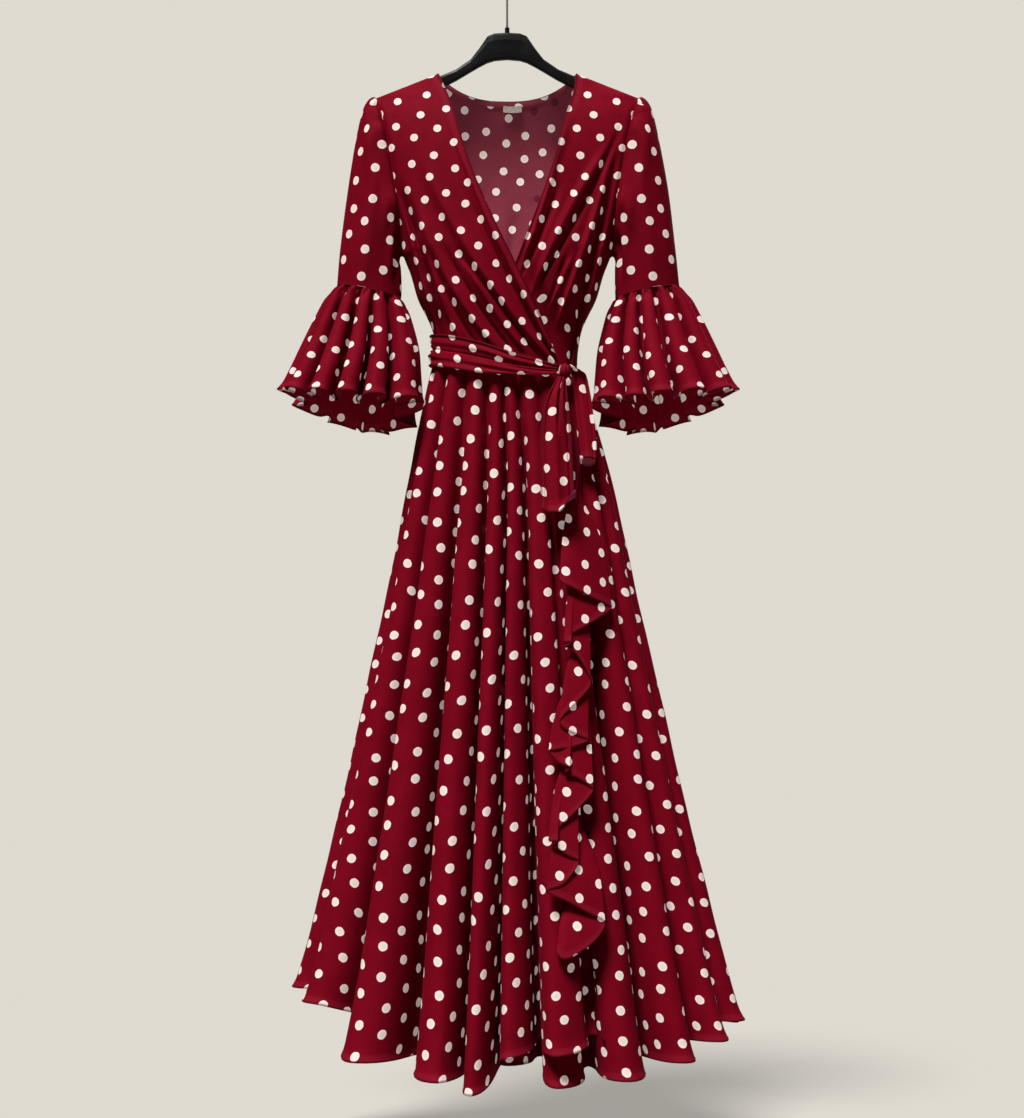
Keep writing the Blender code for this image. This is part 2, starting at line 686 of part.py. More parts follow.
def skirt_back(mat, rows=7):
    v = skirt_rows(rows)
    n = len(FOLD["hem_deg"])
    t = fold_counts(SEAM_RIGHT, n + SEAM_LEFT)[None, :]
    gap = (t == SEAM_RIGHT) * nudge(SEAM_RIGHT, v, SEAM / 2)
    t = t + gap - (t == n + SEAM_LEFT) * nudge(SEAM_LEFT, v, SEAM / 2)
    x, y, z = skirt(t, v)
    return sheet("skirt_back", stack(x, y, z), mat)


def wrap_ruffle(mat, per=2):
    """The cascade: from the wrap edge a strip whose free edge leans right and left in turn."""
    c = columns(CASCADE)
    v = np.interp(np.linspace(0, len(c["v"]) - 1, per * (len(c["v"]) - 1) + 1), np.arange(len(c["v"])), c["v"])
    at = wrap_at(v)
    edge, lower = over(at, v), over(at, v + 0.004)
    high = smooth(v, LEVELS[:, 0], HIGH[:, 0])
    nx, ny = skirt_ring(at, v, high)[2:]
    away, out = stack(-ny, nx, 0 * nx), stack(nx, ny, 0 * nx)
    down = lower - edge
    down /= np.linalg.norm(down, axis=-1, keepdims=True)
    lean = np.radians(smooth(v, c["v"], c["lean"]))[:, None]
    wide = smooth(v, c["v"], c["wide"])[:, None]
    drop = smooth(v, c["v"], c["drop"])[:, None]
    share = np.linspace(0, 1, 5)[None, :, None]
    turn = lean[:, None] * ease(-0.1, 0.85, share - 0.125)
    step = (np.cos(turn) * away[:, None] + np.sin(turn) * out[:, None]) * wide[:, None] / 4
    path = np.concatenate([np.zeros_like(step[:, :1]), np.cumsum(step[:, 1:], axis=1)], axis=1)
    root = edge + (SEAM + CLOTH * 0.8) * away
    points = root[:, None] + path + drop[:, None] * share**1.5 * down[:, None]
    return sheet("wrap_ruffle", points, mat)


# ---------------------------------------------------------------- flounces
def flounce(name, side, folds, mat, rows=5, per=(0.0, 0.28, 0.5, 0.72)):
    """A bell flounce: rings growing down from the cuff, folded until each is as long as its cloth."""
    f = columns(folds)
    n = len(f["deg"])
    t = (np.arange(n)[:, None] + np.array(per)[None, :]).reshape(1, -1)
    fine = np.arange(0, n, 1 / 24)[None, :]
    v = (np.linspace(0, 1, rows) ** 1.1)[:, None]
    c = columns(FLOUNCE)
    at = np.linspace(0, 1, len(c["deep"]))
    span = (smooth(v, at, c["out_x"]) - smooth(v, at, c["in_x"])) / 2
    deep = smooth(v, at, c["deep"])
    middle = (smooth(v, at, c["out_x"]) + smooth(v, at, c["in_x"])) / 2

    def shape(high, count):
        angle, e, roll = fold_wave(count, f["deg"], f["ridge"], f["valley"])
        angle = angle + roll * (0.2 + 0.38 * v)
        a, b = span - high, deep - high
        cx, sy = np.cos(angle), np.sin(angle)
        nx, ny = b * cx, a * sy
        size = np.hypot(nx, ny)
        return a * cx + nx / size * high * e, b * sy + ny / size * high * e

    wanted = FLOUNCE_ROUND[0] + (FLOUNCE_ROUND[1] - FLOUNCE_ROUND[0]) * v
    high = solve_height(lambda h: shape(h, fine), wanted, 0.035)
    high[0] = 0.0
    px, py = shape(high, t)
    lean = (smooth(v, at, c["out_z"]) - smooth(v, at, c["in_z"])) / 2 / span
    z = (smooth(v, at, c["out_z"]) + smooth(v, at, c["in_z"])) / 2 + lean * px
    z = z - smooth(v, at, c["front_drop"]) * np.clip(py / deep, 0, 1)
    z = z - smooth(v, at, c["back_drop"]) * np.clip(-py / deep, 0, 1) * (1 - 0.4 * px / span)
    x = side * (middle + px) + SWING_RIGHT * max(side, 0)
    return sheet(name, stack(x, -py, z), mat, closed=True)


# ---------------------------------------------------------------- sash
def sash_band(mat, cols=30):
    """The sash round the waist, drawn in at the knot and flaring a little over the skirt."""
    s = columns(SASH)
    deg = np.linspace(SASH[1][0], SASH[-1][0], cols)[None, :]
    share = np.linspace(0, 1, 4)[:, None]
    top, bottom = smooth(-deg, -s["deg"], s["top"]), smooth(-deg, -s["deg"], s["bottom"])
    off = smooth(-deg, -s["deg"], s["out"])
    x, y, nx, ny = oval(np.radians(deg), WAIST_A, WAIST_B + 0.004)
    off = off + SASH_FLARE * share**2 + SASH_LIP * (1 - share) ** 2 * (1 - ease(10, 36, deg))
    return sheet("sash_band", stack(x + nx * off, y + ny * off, top + (bottom - top) * share), mat)


def sash_knot(mat, cols=12):
    """The knot: a short band of cloth wrapped round where the ends cross."""
    share = np.linspace(-1, 1, 4)[:, None]
    phi = np.linspace(0, 2 * np.pi, cols, endpoint=False)[None, :]
    swell = 1 - 0.22 * share**2
    y0 = stand_off(KNOT["x"], KNOT["z"]) - KNOT["deep"] - 0.0010
    x = KNOT["x"] + share * KNOT["wide"] / 2 + 0 * phi
    y = y0 + swell * KNOT["deep"] * np.cos(phi)
    z = KNOT["z"] + swell * KNOT["high"] * np.sin(phi)
    return sheet("sash_knot", stack(x, y, z), mat, closed=True)


def stand_off(x, z):
    """The front of the skirt's folds, and of the sash over them, seen from the front."""
    v = np.clip((waist_z(x) - z) / SKIRT_LONG, 0, 1)
    a = smooth(v, SIDE["v"], SIDE["half"]) + 0.007
    b = WAIST_B + 0.009 + (HEM_B - WAIST_B) * v
    return -b * np.sqrt(np.clip(1 - (x / a) ** 2, 0, 1))


def tail(name, table, waves, height, mat, cols=7):
    """A hanging end of the sash: a strip with folds down its length."""
    t = columns(table)
    share = np.linspace(0, 1, cols)[None, :]
    z = np.linspace(t["z"][0], t["z"][-1], 6)[:, None]
    left, right = smooth(-z, -t["z"], t["left"]), smooth(-z, -t["z"], t["right"])
    off = smooth(-z, -t["z"], t["off"])
    x = left + (right - left) * share
    y = stand_off((left + right) / 2, z) - off - height * np.cos(2 * np.pi * waves * share)
    return sheet(name, stack(x, y, z + 0 * share), mat)


# ---------------------------------------------------------------- hanger
def hanger_body(mat):
    """One moulding: rounded sections from tip to tip, over the neck in the middle."""
    h = columns(HANGER)
    x = np.concatenate([-h["x"][:0:-1], h["x"]])
    top, bottom, half = (np.concatenate([h[k][:0:-1], h[k]]) for k in ("top", "bottom", "half"))
    turn = np.linspace(0, 2 * np.pi, 12, endpoint=False) + np.pi / 12
    c, s = np.cos(turn), np.sin(turn)
    c, s = np.sign(c) * np.abs(c) ** 0.6, np.sign(s) * np.abs(s) ** 0.6
    y = half[:, None] * c[None, :]
    z = (top + bottom)[:, None] / 2 + (top - bottom)[:, None] / 2 * s[None, :]
    return loft("hanger_body", stack(x[:, None], y, z), mat)


def hanger_collar(mat):
    bpy.ops.mesh.primitive_cylinder_add(vertices=24, radius=COLLAR_R, depth=COLLAR_HIGH, location=(0, 0, COLLAR_Z))
    made = bpy.context.object
    made.name = "hanger_collar"
    made.data.materials.append(mat)
    for c in list(made.users_collection):
        c.objects.unlink(made)
    HOME.objects.link(made)
    bpy.ops.object.transform_apply(location=True, rotation=False, scale=False)
    bevel = made.modifiers.new("soft edge", "BEVEL")
    bevel.width = 0.0005
    bevel.segments = 1
    return made


def hanger_hook(mat):
    """The wire: up from the collar, round the front of the rail, over its top and down behind."""
    mid = RAIL_R + WIRE_R
    turn = np.radians(np.linspace(-12, 205, 25))
    y, z = -mid * np.cos(turn), -RAIL_R + mid * np.sin(turn)
    stem = [(0.0, 0.0, -0.0604), (0.0, 0.0, -0.0574), (0.0, -0.0060, -0.0504), (0.0, -0.0150, -0.0392)]
    line = stem + [(0.0, float(a), float(b)) for a, b in zip(y, z)]
    curve = bpy.data.curves.new("hanger_hook", "CURVE")
    curve.dimensions = "3D"
    curve.bevel_depth = WIRE_R
    curve.bevel_resolution = 2
    curve.use_fill_caps = True
    spline = curve.splines.new("POLY")
    spline.points.add(len(line) - 1)
    for point, place in zip(spline.points, line):
        point.co = (*place, 1.0)
    curve.materials.append(mat)
    made = bpy.data.objects.new("hanger_hook", curve)
    HOME.objects.link(made)
    return made


# ---------------------------------------------------------------- build
for old in list(bpy.data.objects):
    bpy.data.objects.remove(old, do_unlink=True)
HOME = collection("wrap_dress_on_a_hanger")

RED = material("dress_crepe", (0.235, 0.006, 0.020), 0.70)
LABEL_CLOTH = material("label_cloth", (0.620, 0.560, 0.480), 0.80)
PLASTIC = material("hanger_plastic", (0.012, 0.012, 0.013), 0.35)
STEEL = material("hook_steel", (0.560, 0.560, 0.570), 0.25, 1.0)

hanger_body(PLASTIC)
hanger_collar(PLASTIC)
hanger_hook(STEEL)
front_panel("bodice_front_over", EDGE_OVER, -1, 0.0, FOLDS_OVER, RED)
front_panel("bodice_front_under", EDGE_UNDER, 1, 0.0045, FOLDS_UNDER, RED)
BACK = sheet("bodice_back", back_grid(), RED)
neck_band(RED)
neck_label(LABEL_CLOTH, BACK)
sleeve("sleeve_left", -1, RED)
sleeve("sleeve_right", 1, RED)
flounce("sleeve_flounce_left", -1, FLOUNCE_FOLDS_LEFT, RED)
flounce("sleeve_flounce_right", 1, FLOUNCE_FOLDS_RIGHT, RED)
skirt_front_over(RED)
skirt_front_under(RED)
skirt_back(RED)
wrap_ruffle(RED)
sash_band(RED)
sash_knot(RED)
tail("sash_tail_long", TAIL_LONG, 1.5, 0.0035, RED)
tail("sash_tail_short", TAIL_SHORT, 0.5, 0.0050, RED)
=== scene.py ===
# %% [markdown]
# # A dotted wrap dress on its hanger
#
# The dress is cut from one light crepe, printed with off-white dots: two wrapped fronts, a back, a pair
# of sleeves with belled flounces, a long flared skirt, a ruffle down the wrap edge and a sash tied at
# the side.  It hangs from a moulded hanger with a wire hook.
#
# A hanging dress could be made by draping flat cloth with a simulation, or by drawing each panel as a
# surface with its folds worked out.  Here the second way is used, because the folds then fall where they
# are wanted and the dots can follow the flat cutting pattern of each panel.

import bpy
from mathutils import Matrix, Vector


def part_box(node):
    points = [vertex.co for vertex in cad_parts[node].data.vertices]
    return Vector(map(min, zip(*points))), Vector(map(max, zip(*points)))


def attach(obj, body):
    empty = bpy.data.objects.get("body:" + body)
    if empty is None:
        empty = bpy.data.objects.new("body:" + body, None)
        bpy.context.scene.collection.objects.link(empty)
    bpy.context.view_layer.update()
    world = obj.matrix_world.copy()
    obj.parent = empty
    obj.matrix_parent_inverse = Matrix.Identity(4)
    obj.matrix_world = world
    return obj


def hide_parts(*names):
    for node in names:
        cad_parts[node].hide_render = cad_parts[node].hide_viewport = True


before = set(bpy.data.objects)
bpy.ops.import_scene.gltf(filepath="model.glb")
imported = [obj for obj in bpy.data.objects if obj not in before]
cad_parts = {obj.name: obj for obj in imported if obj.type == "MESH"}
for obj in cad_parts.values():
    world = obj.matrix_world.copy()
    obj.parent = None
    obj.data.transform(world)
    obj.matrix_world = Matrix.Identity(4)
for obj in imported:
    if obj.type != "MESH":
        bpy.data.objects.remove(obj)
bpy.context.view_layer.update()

import math

import bpy
import numpy as np
from mathutils import Vector

print("pieces in the frame:", ", ".join(sorted(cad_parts)))

# %% [markdown]
# ## Driving sizes
#
# Metres, +Z up, the front faces -Y, and the origin is the top of the inside of the hook.  The cloth is
# drawn 0.7 mm thick with hems rolled to 2.2 mm, which is what a narrow rolled hem measures.  Dots are
# about 13 mm across on a staggered layout 40 mm apart.

# %% Driving sizes
CLOTH = 0.0007            # wall of the cloth
HEM_THICK = 0.0022        # height of a rolled hem
HEM_WIDE = 0.0030         # width of a rolled hem
DOT_ACROSS = 0.0126       # width of a printed dot
DOT_STEP = 0.0395         # from one dot to the next in a row
DOT_STRAY = 0.0048        # how far a dot may sit from its place

NECK_X = 0.0994           # half the width of the neck at the shoulder seams
NECK_Z = -0.1288          # height of the neck points
NECK_DIP = 0.0337         # how far the back neckline dips below the neck points
TIP_X = 0.1906            # shoulder tip, the top of the armhole
TIP_Z = -0.1654           # and its height
PIT_X = 0.1514            # armpit, the bottom of the armhole
PIT_Z = -0.3960           # and its height
ARMHOLE_DEEP = 0.039      # half the front-to-back size of the armhole
ARMHOLE_BOW = 0.007       # how far the cut of the armhole bows towards the chest
ARMHOLE_DIP = 0.0058      # how deep the seam lies between the bodice and the sleeve

WAIST_A = 0.1018          # half width of the waist seam
WAIST_B = 0.0600          # half depth of the waist seam
WAIST_Z = -0.5530         # height of the waist seam at the middle
WAIST_TILT = -0.1700      # the seam drops towards the knot: metres down per metre of x

HEM_B = 0.1820            # half depth over the folds at the hem
SKIRT_LONG = 1.0100       # waist seam to hem at the front
SWING_RIGHT = 0.0030      # how much further out the right cuff hangs
WAIST_ROUND = 0.5600      # length of cloth round the waist seam
HEM_ROUND = 4.5000        # length of cloth round the hem

# %% [markdown]
# ## Reading the tables
#
# Each piece is worked out from a short table: one row for each section of the body or for each fold.
# Reading a curve through a few measured rows is how a pattern maker grades a garment, and it keeps the
# shape easy to change.  A table could be read along straight lines, which would leave a kink at each row.

# %% Helpers for tables and curves
def columns(table):
    """A table whose first row names its columns, as one array of numbers per name."""
    head = table[0]
    rows = np.array(table[1:], dtype=float)
    return {name: rows[:, i] for i, name in enumerate(head)}


def smooth(x, xs, ys):
    """A curve through the table's points whose slope at each is the mean slope of its neighbours."""
    xs = np.asarray(xs, dtype=float)
    ys = np.asarray(ys, dtype=float)
    x = np.clip(np.asarray(x, dtype=float), xs[0], xs[-1])
    slope = np.gradient(ys, xs)
    i = np.clip(np.searchsorted(xs, x) - 1, 0, len(xs) - 2)
    step = xs[i + 1] - xs[i]
    f = (x - xs[i]) / step
    start = (2 * f**3 - 3 * f**2 + 1) * ys[i] + (f**3 - 2 * f**2 + f) * step * slope[i]
    return start + (3 * f**2 - 2 * f**3) * ys[i + 1] + (f**3 - f**2) * step * slope[i + 1]


def ease(low, high, x):
    """0 below low, 1 above high and a soft step between: 3f^2 - 2f^3."""
    f = np.clip((x - low) / (high - low), 0.0, 1.0)
    return f * f * (3 - 2 * f)


def bump(middle, half, x):
    """A smooth hump of height 1: exp(-((x - middle) / half)^2)."""
    return np.exp(-(((x - middle) / half) ** 2))


# %% [markdown]
# ## Grids of points
#
# Every cloth piece is a grid of points worked out as whole arrays: rows run down the cloth and columns
# run across it.  Two more grids go with it.  `flat` says where each point lies on the flat cutting
# pattern, in metres, so the printed dots keep their size in every fold.  `edge` says how far along a
# seam or hem the point is and how far from it, so stitches and rolled hems know where to be.

# %% Helpers for grids
def stack(x, y, z):
    """Three arrays of coordinates as one grid of points."""
    return np.stack(np.broadcast_arrays(x, y, z), axis=-1).astype(float)


def pair(u, v):
    """Two arrays as one grid of flat coordinates."""
    return np.stack(np.broadcast_arrays(u, v), axis=-1).astype(float)


def to_hem(count, length, ends=(1,)):
    """Shares 0 to 1 down a piece, with extra ones in the last 4 mm so that a hem can roll.

    ends names the ends that have a hem: 1 the last row, 0 the first."""
    near = np.array([0.0, 0.0004, 0.0010, 0.0016, 0.0023, 0.0030, 0.0042]) / length
    middle = np.linspace(near[-1] * (0 in ends), 1 - near[-1] * (1 in ends), count)
    first = near[:-1] if 0 in ends else np.array([])
    last = (1 - near[:-1])[::-1] if 1 in ends else np.array([])
    return np.concatenate([first, middle, last])


def ripple(u, v, high, seed):
    """Slight unevenness of hanging cloth: five soft waves of different slant, length and phase.

    h = high * sum(sin(2 pi (u cos(a) + v sin(a)) / long + phase)) / 5."""
    draw = np.random.default_rng(seed)
    slant, phase = draw.uniform(-0.6, 0.6, 5), draw.uniform(0, 2 * np.pi, 5)
    long = draw.uniform(0.045, 0.16, 5)
    way = u[..., None] * np.cos(slant) + v[..., None] * np.sin(slant)
    return high * np.sin(2 * np.pi * way / long + phase).sum(axis=-1) / 5


# %% [markdown]
# ## Directions and lengths on a grid
#
# A fold of a sleeve is raised along the cloth's own outward direction, the normal, which comes from the
# differences between neighbouring points.  Lengths are summed from the same differences.  The flat
# pattern could be unfolded by Blender's UV tools, but a sum of lengths says exactly where a dot goes.

# %% Helpers for directions and lengths
def normals(points):
    """Unit normals of a closed grid: the cross product of its two mean edge directions."""
    down = np.gradient(points, axis=0)
    across = (np.roll(points, -1, axis=1) - np.roll(points, 1, axis=1)) / 2
    n = np.cross(down, across)
    return n / np.maximum(np.linalg.norm(n, axis=-1, keepdims=True), 1e-12)


def level_run(points):
    """Length along each row of a grid, seen from above, from its first point."""
    step = np.hypot(np.diff(points[..., 0], axis=1), np.diff(points[..., 1], axis=1))
    return np.concatenate([np.zeros_like(step[:, :1]), np.cumsum(step, axis=1)], axis=1)


def run_down(points):
    """Length down each column of a grid from its first row."""
    step = np.linalg.norm(np.diff(points, axis=0), axis=-1)
    return np.concatenate([np.zeros_like(step[:1]), np.cumsum(step, axis=0)], axis=0)


def turned(points, flat, edge, closed=False):
    """The same grids with their columns in the opposite order, so that the other side faces out."""
    cols = points.shape[1]
    order = -np.arange(cols) % cols if closed else np.arange(cols)[::-1]
    return points[:, order], flat[:, ::-1], edge[:, ::-1]


# %% [markdown]
# ## From a grid to a piece of cloth
#
# The wall could be modelled by hand, as an offset grid with a rim.  Here it comes from a Solidify
# modifier, thick in the rolled hem and thin elsewhere, which a vertex group steers.  It is applied so
# that the piece is one closed shell with a right side, a wrong side and a hem edge.

# %% Helper that makes a cloth piece
PIECES = {}               # every cloth piece by its name
SHARP = 55                # edges bent by more than this, in degrees, are shaded as sharp
WALL_STEPS = 40           # the wall's thickness is set in this many steps


def cloth(name, points, flat, edge, mats, closed=False, hems=True, thin=CLOTH):
    """A closed shell of cloth on a grid of points.

    flat and edge have a column more than points where the grid is closed.  Wall = thin, growing to the
    height of a rolled hem by sqrt(1 - ((d - r) / r)^2) at the distance d from a hem of radius r."""
    rows, cols = points.shape[:2]
    i, j = np.meshgrid(np.arange(rows - 1), np.arange(cols if closed else cols - 1), indexing="ij")
    corners = [(i, j), (i + 1, j), (i + 1, j + 1), (i, j + 1)]
    faces = np.stack([a * cols + b % cols for a, b in corners], -1).reshape(-1, 4)
    mesh = bpy.data.meshes.new(name)
    mesh.from_pydata(points.reshape(-1, 3), [], faces.tolist())
    for title, grid in (("flat", flat), ("edge", edge)):
        layer = mesh.uv_layers.new(name=title)
        loops = np.stack([grid[a, b] for a, b in corners], axis=2).reshape(-1, 2)
        layer.data.foreach_set("uv", loops.astype(np.float32).reshape(-1))
    mesh.update()
    obj = bpy.data.objects.new(name, mesh)
    bpy.context.scene.collection.objects.link(obj)
    for mat in mats:
        mesh.materials.append(mat)
    wall = obj.modifiers.new("wall", "SOLIDIFY")
    wall.offset = 0.0
    wall.material_offset = 1
    wall.thickness = HEM_THICK if hems else thin
    if hems:
        r = HEM_WIDE / 2
        d = edge[:, :cols, 1].reshape(-1)
        roll = np.sqrt(np.clip(1 - ((np.clip(d, 0.0001, None) - r) / r) ** 2, 0, 1))
        weight = np.clip((thin + (HEM_THICK - thin) * roll) / HEM_THICK, 0, 1)
        group = obj.vertex_groups.new(name="wall")
        level = np.round(weight * WALL_STEPS).astype(int)
        for k in np.unique(level):
            group.add(np.flatnonzero(level == k).tolist(), k / WALL_STEPS, "REPLACE")
        wall.vertex_group = "wall"
    made = bpy.data.meshes.new_from_object(obj.evaluated_get(bpy.context.evaluated_depsgraph_get()))
    obj.modifiers.clear()
    obj.vertex_groups.clear()
    obj.data = made
    made.name = name
    made.shade_smooth()
    made.set_sharp_from_angle(angle=math.radians(SHARP))
    PIECES[name] = obj
    print(f"{name}: {rows} x {cols} grid, {sum(len(p.vertices) - 2 for p in made.polygons)} triangles")
    return obj

# %% [markdown]
# ## Helpers for materials
#
# A material is a tree of nodes, each of which does one small step and hands its result on.  It could be
# wired by hand in the shader editor.  Helpers that make one node each let it be written like a formula.

# %% Node helpers
def new_material(name):
    """A Principled material with its tree and its shader."""
    mat = bpy.data.materials.new(name)
    mat.use_nodes = True
    tree = mat.node_tree
    return mat, tree, tree.nodes["Principled BSDF"]


def math_node(tree, operation, *values):
    """One Math node.  Each value is a number or another node's output."""
    node = tree.nodes.new("ShaderNodeMath")
    node.operation = operation
    for socket, value in zip(node.inputs, values):
        if isinstance(value, (int, float)):
            socket.default_value = value
        else:
            tree.links.new(value, socket)
    return node.outputs[0]


def mix_colour(tree, share, first, second):
    """A mix of two colours.  share is a number or an output, first and second colours or outputs."""
    node = tree.nodes.new("ShaderNodeMix")
    node.data_type = "RGBA"
    for socket, value in ((node.inputs[0], share), (node.inputs[6], first), (node.inputs[7], second)):
        if isinstance(value, bpy.types.NodeSocket):
            tree.links.new(value, socket)
        elif isinstance(value, tuple):
            socket.default_value = (*value, 1.0)
        else:
            socket.default_value = value
    return node.outputs[2]


def step_between(tree, value, low, high, start=0.0, end=1.0):
    """A soft step from start at low to end at high (a Map Range node)."""
    node = tree.nodes.new("ShaderNodeMapRange")
    node.interpolation_type = "SMOOTHSTEP"
    tree.links.new(value, node.inputs[0])
    for socket, number in zip(list(node.inputs)[1:5], (low, high, start, end)):
        socket.default_value = number
    return node.outputs[0]


def uv_parts(tree, title):
    """A UV map's vector and its two coordinates, in metres."""
    uv = tree.nodes.new("ShaderNodeUVMap")
    uv.uv_map = title
    split = tree.nodes.new("ShaderNodeSeparateXYZ")
    tree.links.new(uv.outputs[0], split.inputs[0])
    return uv.outputs[0], split.outputs[0], split.outputs[1]


def noise(tree, vector, scale, detail=2.0):
    """Noise of about 1 / scale metres across, 0 to 1."""
    node = tree.nodes.new("ShaderNodeTexNoise")
    node.inputs["Scale"].default_value = scale
    node.inputs["Detail"].default_value = detail
    tree.links.new(vector, node.inputs["Vector"])
    return node.outputs["Fac"]


def set_values(shader, values):
    """Plain values for the shader's inputs, by name."""
    for title, value in values.items():
        shader.inputs[title].default_value = value


def raised(tree, shader, height, strength, distance):
    """Shade the surface as if it were raised by the height times the distance in metres."""
    node = tree.nodes.new("ShaderNodeBump")
    node.inputs["Strength"].default_value = strength
    node.inputs["Distance"].default_value = distance
    tree.links.new(height, node.inputs["Height"])
    tree.links.new(node.outputs[0], shader.inputs["Normal"])


# %% [markdown]
# ## The printed dots
#
# The print is a staggered layout of dots.  It could be an image.  Here it is worked out: the flat
# pattern coordinates are cut into cells, each cell's dot strays a little from the middle, and the
# distance from it gives the dot, which stays sharp however close the camera comes.

# %% The dot layout
ROW_STEP = DOT_STEP * 0.866  # from one row of dots to the next, the height of an even triangle


def dot_distance(tree, u, v, turn, shift):
    """Distance from the nearest printed dot's middle, in metres.

    The layout is turned by turn and moved by shift cells, and every other row is moved by half a step.
    In each cell the dot strays by up to DOT_STRAY both ways, drawn from the cell's own number."""
    c, s = math.cos(turn), math.sin(turn)
    across = math_node(tree, "ADD", math_node(tree, "MULTIPLY", u, c), math_node(tree, "MULTIPLY", v, s))
    down, aside = math_node(tree, "MULTIPLY", v, c), math_node(tree, "MULTIPLY", u, s)
    row = math_node(tree, "MULTIPLY_ADD", math_node(tree, "SUBTRACT", down, aside), 1 / ROW_STEP, shift)
    row_number = math_node(tree, "FLOOR", row)
    half = math_node(tree, "MULTIPLY", math_node(tree, "FLOORED_MODULO", row_number, 2.0), 0.5)
    place = math_node(tree, "ADD", math_node(tree, "MULTIPLY_ADD", across, 1 / DOT_STEP, shift), half)
    number = math_node(tree, "FLOOR", place)
    cell = tree.nodes.new("ShaderNodeCombineXYZ")
    tree.links.new(number, cell.inputs[0])
    tree.links.new(row_number, cell.inputs[1])
    draw = tree.nodes.new("ShaderNodeTexWhiteNoise")
    draw.noise_dimensions = "2D"
    tree.links.new(cell.outputs[0], draw.inputs["Vector"])
    stray = tree.nodes.new("ShaderNodeSeparateColor")
    tree.links.new(draw.outputs["Color"], stray.inputs[0])
    parts = []
    for here, first, size, drawn in ((place, number, DOT_STEP, 0), (row, row_number, ROW_STEP, 1)):
        inside = math_node(tree, "SUBTRACT", math_node(tree, "SUBTRACT", here, first), 0.5)
        off = math_node(tree, "MULTIPLY_ADD", stray.outputs[drawn], 2 * DOT_STRAY, -DOT_STRAY)
        gap = math_node(tree, "SUBTRACT", math_node(tree, "MULTIPLY", inside, size), off)
        parts.append(math_node(tree, "MULTIPLY", gap, gap))
    return math_node(tree, "SQRT", math_node(tree, "ADD", parts[0], parts[1])), stray.outputs[2]


# %% [markdown]
# ## The dyed cloth and its hem
# The dye isn't even: broad clouds, fine slubs and, where another layer hangs behind, its dots as faint
# darker spots.  Along a rolled hem the cloth is painted darker, as painted shade of the roll, and a band
# about a centimetre high above it is painted a little paler, as a painted highlight for light through
# the thin cloth. A rolled hem is darker, and the strip turned up behind it makes the cloth a bit paler.
# Each of these is one mix over the one before, in the order in which they lie on the real cloth.

# %% The dye, and the painted shade and highlight at the hem
PRINT_TURN = 0.35         # how far the print is turned on the pattern, in radians
PRINT_SHIFT = 0.31        # how far it is moved, in cells
BEHIND = (0.5, 0.77)      # the same for the layer behind: further turn, and shift
# Colour of the painted highlight in a band of about a centimetre above each hem.
HEM_BAND_LIGHT = (0.42, 0.05, 0.09)        # colour of the light on the strip turned up behind a hem
STITCH_LONG = 0.0026      # from one stitch of a hem to the next
STITCH_IN = 0.0006        # how far the line of stitches lies above the hem
STITCH_HIGH = 0.00020     # how high the stitches stand
GRAIN_HIGH = 0.00012      # how high the grain of the crepe stands


def shade(colour, share):
    """A colour made darker or lighter."""
    return tuple(share * c for c in colour)


def dyed(tree, flat, u, v, colour, dark):
    """The cloth between its dots: clouds from dark to colour, slubs, and the dots of the layer behind."""
    cloud = noise(tree, flat, 18.0, 3.0)
    slub = noise(tree, flat, 900.0, 1.0)
    cloth_colour = mix_colour(tree, step_between(tree, cloud, 0.3, 0.7), dark, colour)
    cloth_colour = mix_colour(tree, math_node(tree, "MULTIPLY", slub, 0.22), cloth_colour, shade(colour, 1.5))
    radius = DOT_ACROSS / 2
    ghost, _ = dot_distance(tree, u, v, PRINT_TURN + BEHIND[0], BEHIND[1])
    share = step_between(tree, ghost, radius * 0.7, radius * 1.05, 0.16, 0.0)
    return mix_colour(tree, share, cloth_colour, shade(dark, 0.5))


def hem_shade_and_light(tree, cloth_colour, from_edge, dark):
    """The colour with painted shade along its rolled hem and a painted highlight in a band just above it.
    """
    # Painted shade: the rolled hem is mixed towards a deep dark red.
    hem = step_between(tree, from_edge, HEM_WIDE * 0.8, HEM_WIDE * 1.3, 1.0, 0.0)
    # Painted highlight: a band within about a centimetre of the hem is mixed a little towards a paler
    # red.
    hem_light_band = step_between(tree, from_edge, 0.0100, 0.0115, 0.05, 0.0)
    cloth_colour = mix_colour(tree, hem_light_band, cloth_colour, HEM_BAND_LIGHT)
    return mix_colour(tree, math_node(tree, "MULTIPLY", hem, 0.60), cloth_colour, shade(dark, 0.4))


def weave(tree, flat, along, from_edge):
    """Height of the cloth in metres: the grain of the crepe and the stitches along a hem."""
    grain = noise(tree, flat, 1500.0, 2.0)
    stitch = math_node(tree, "SINE", math_node(tree, "MULTIPLY", along, 2 * math.pi / STITCH_LONG))
    on_line = math_node(tree, "COMPARE", from_edge, HEM_WIDE + STITCH_IN, 0.00025)
    stitch = math_node(tree, "MULTIPLY", math_node(tree, "GREATER_THAN", stitch, -0.3), on_line)
    stitch = math_node(tree, "MULTIPLY", stitch, STITCH_HIGH)
    return math_node(tree, "MULTIPLY_ADD", grain, GRAIN_HIGH, stitch)
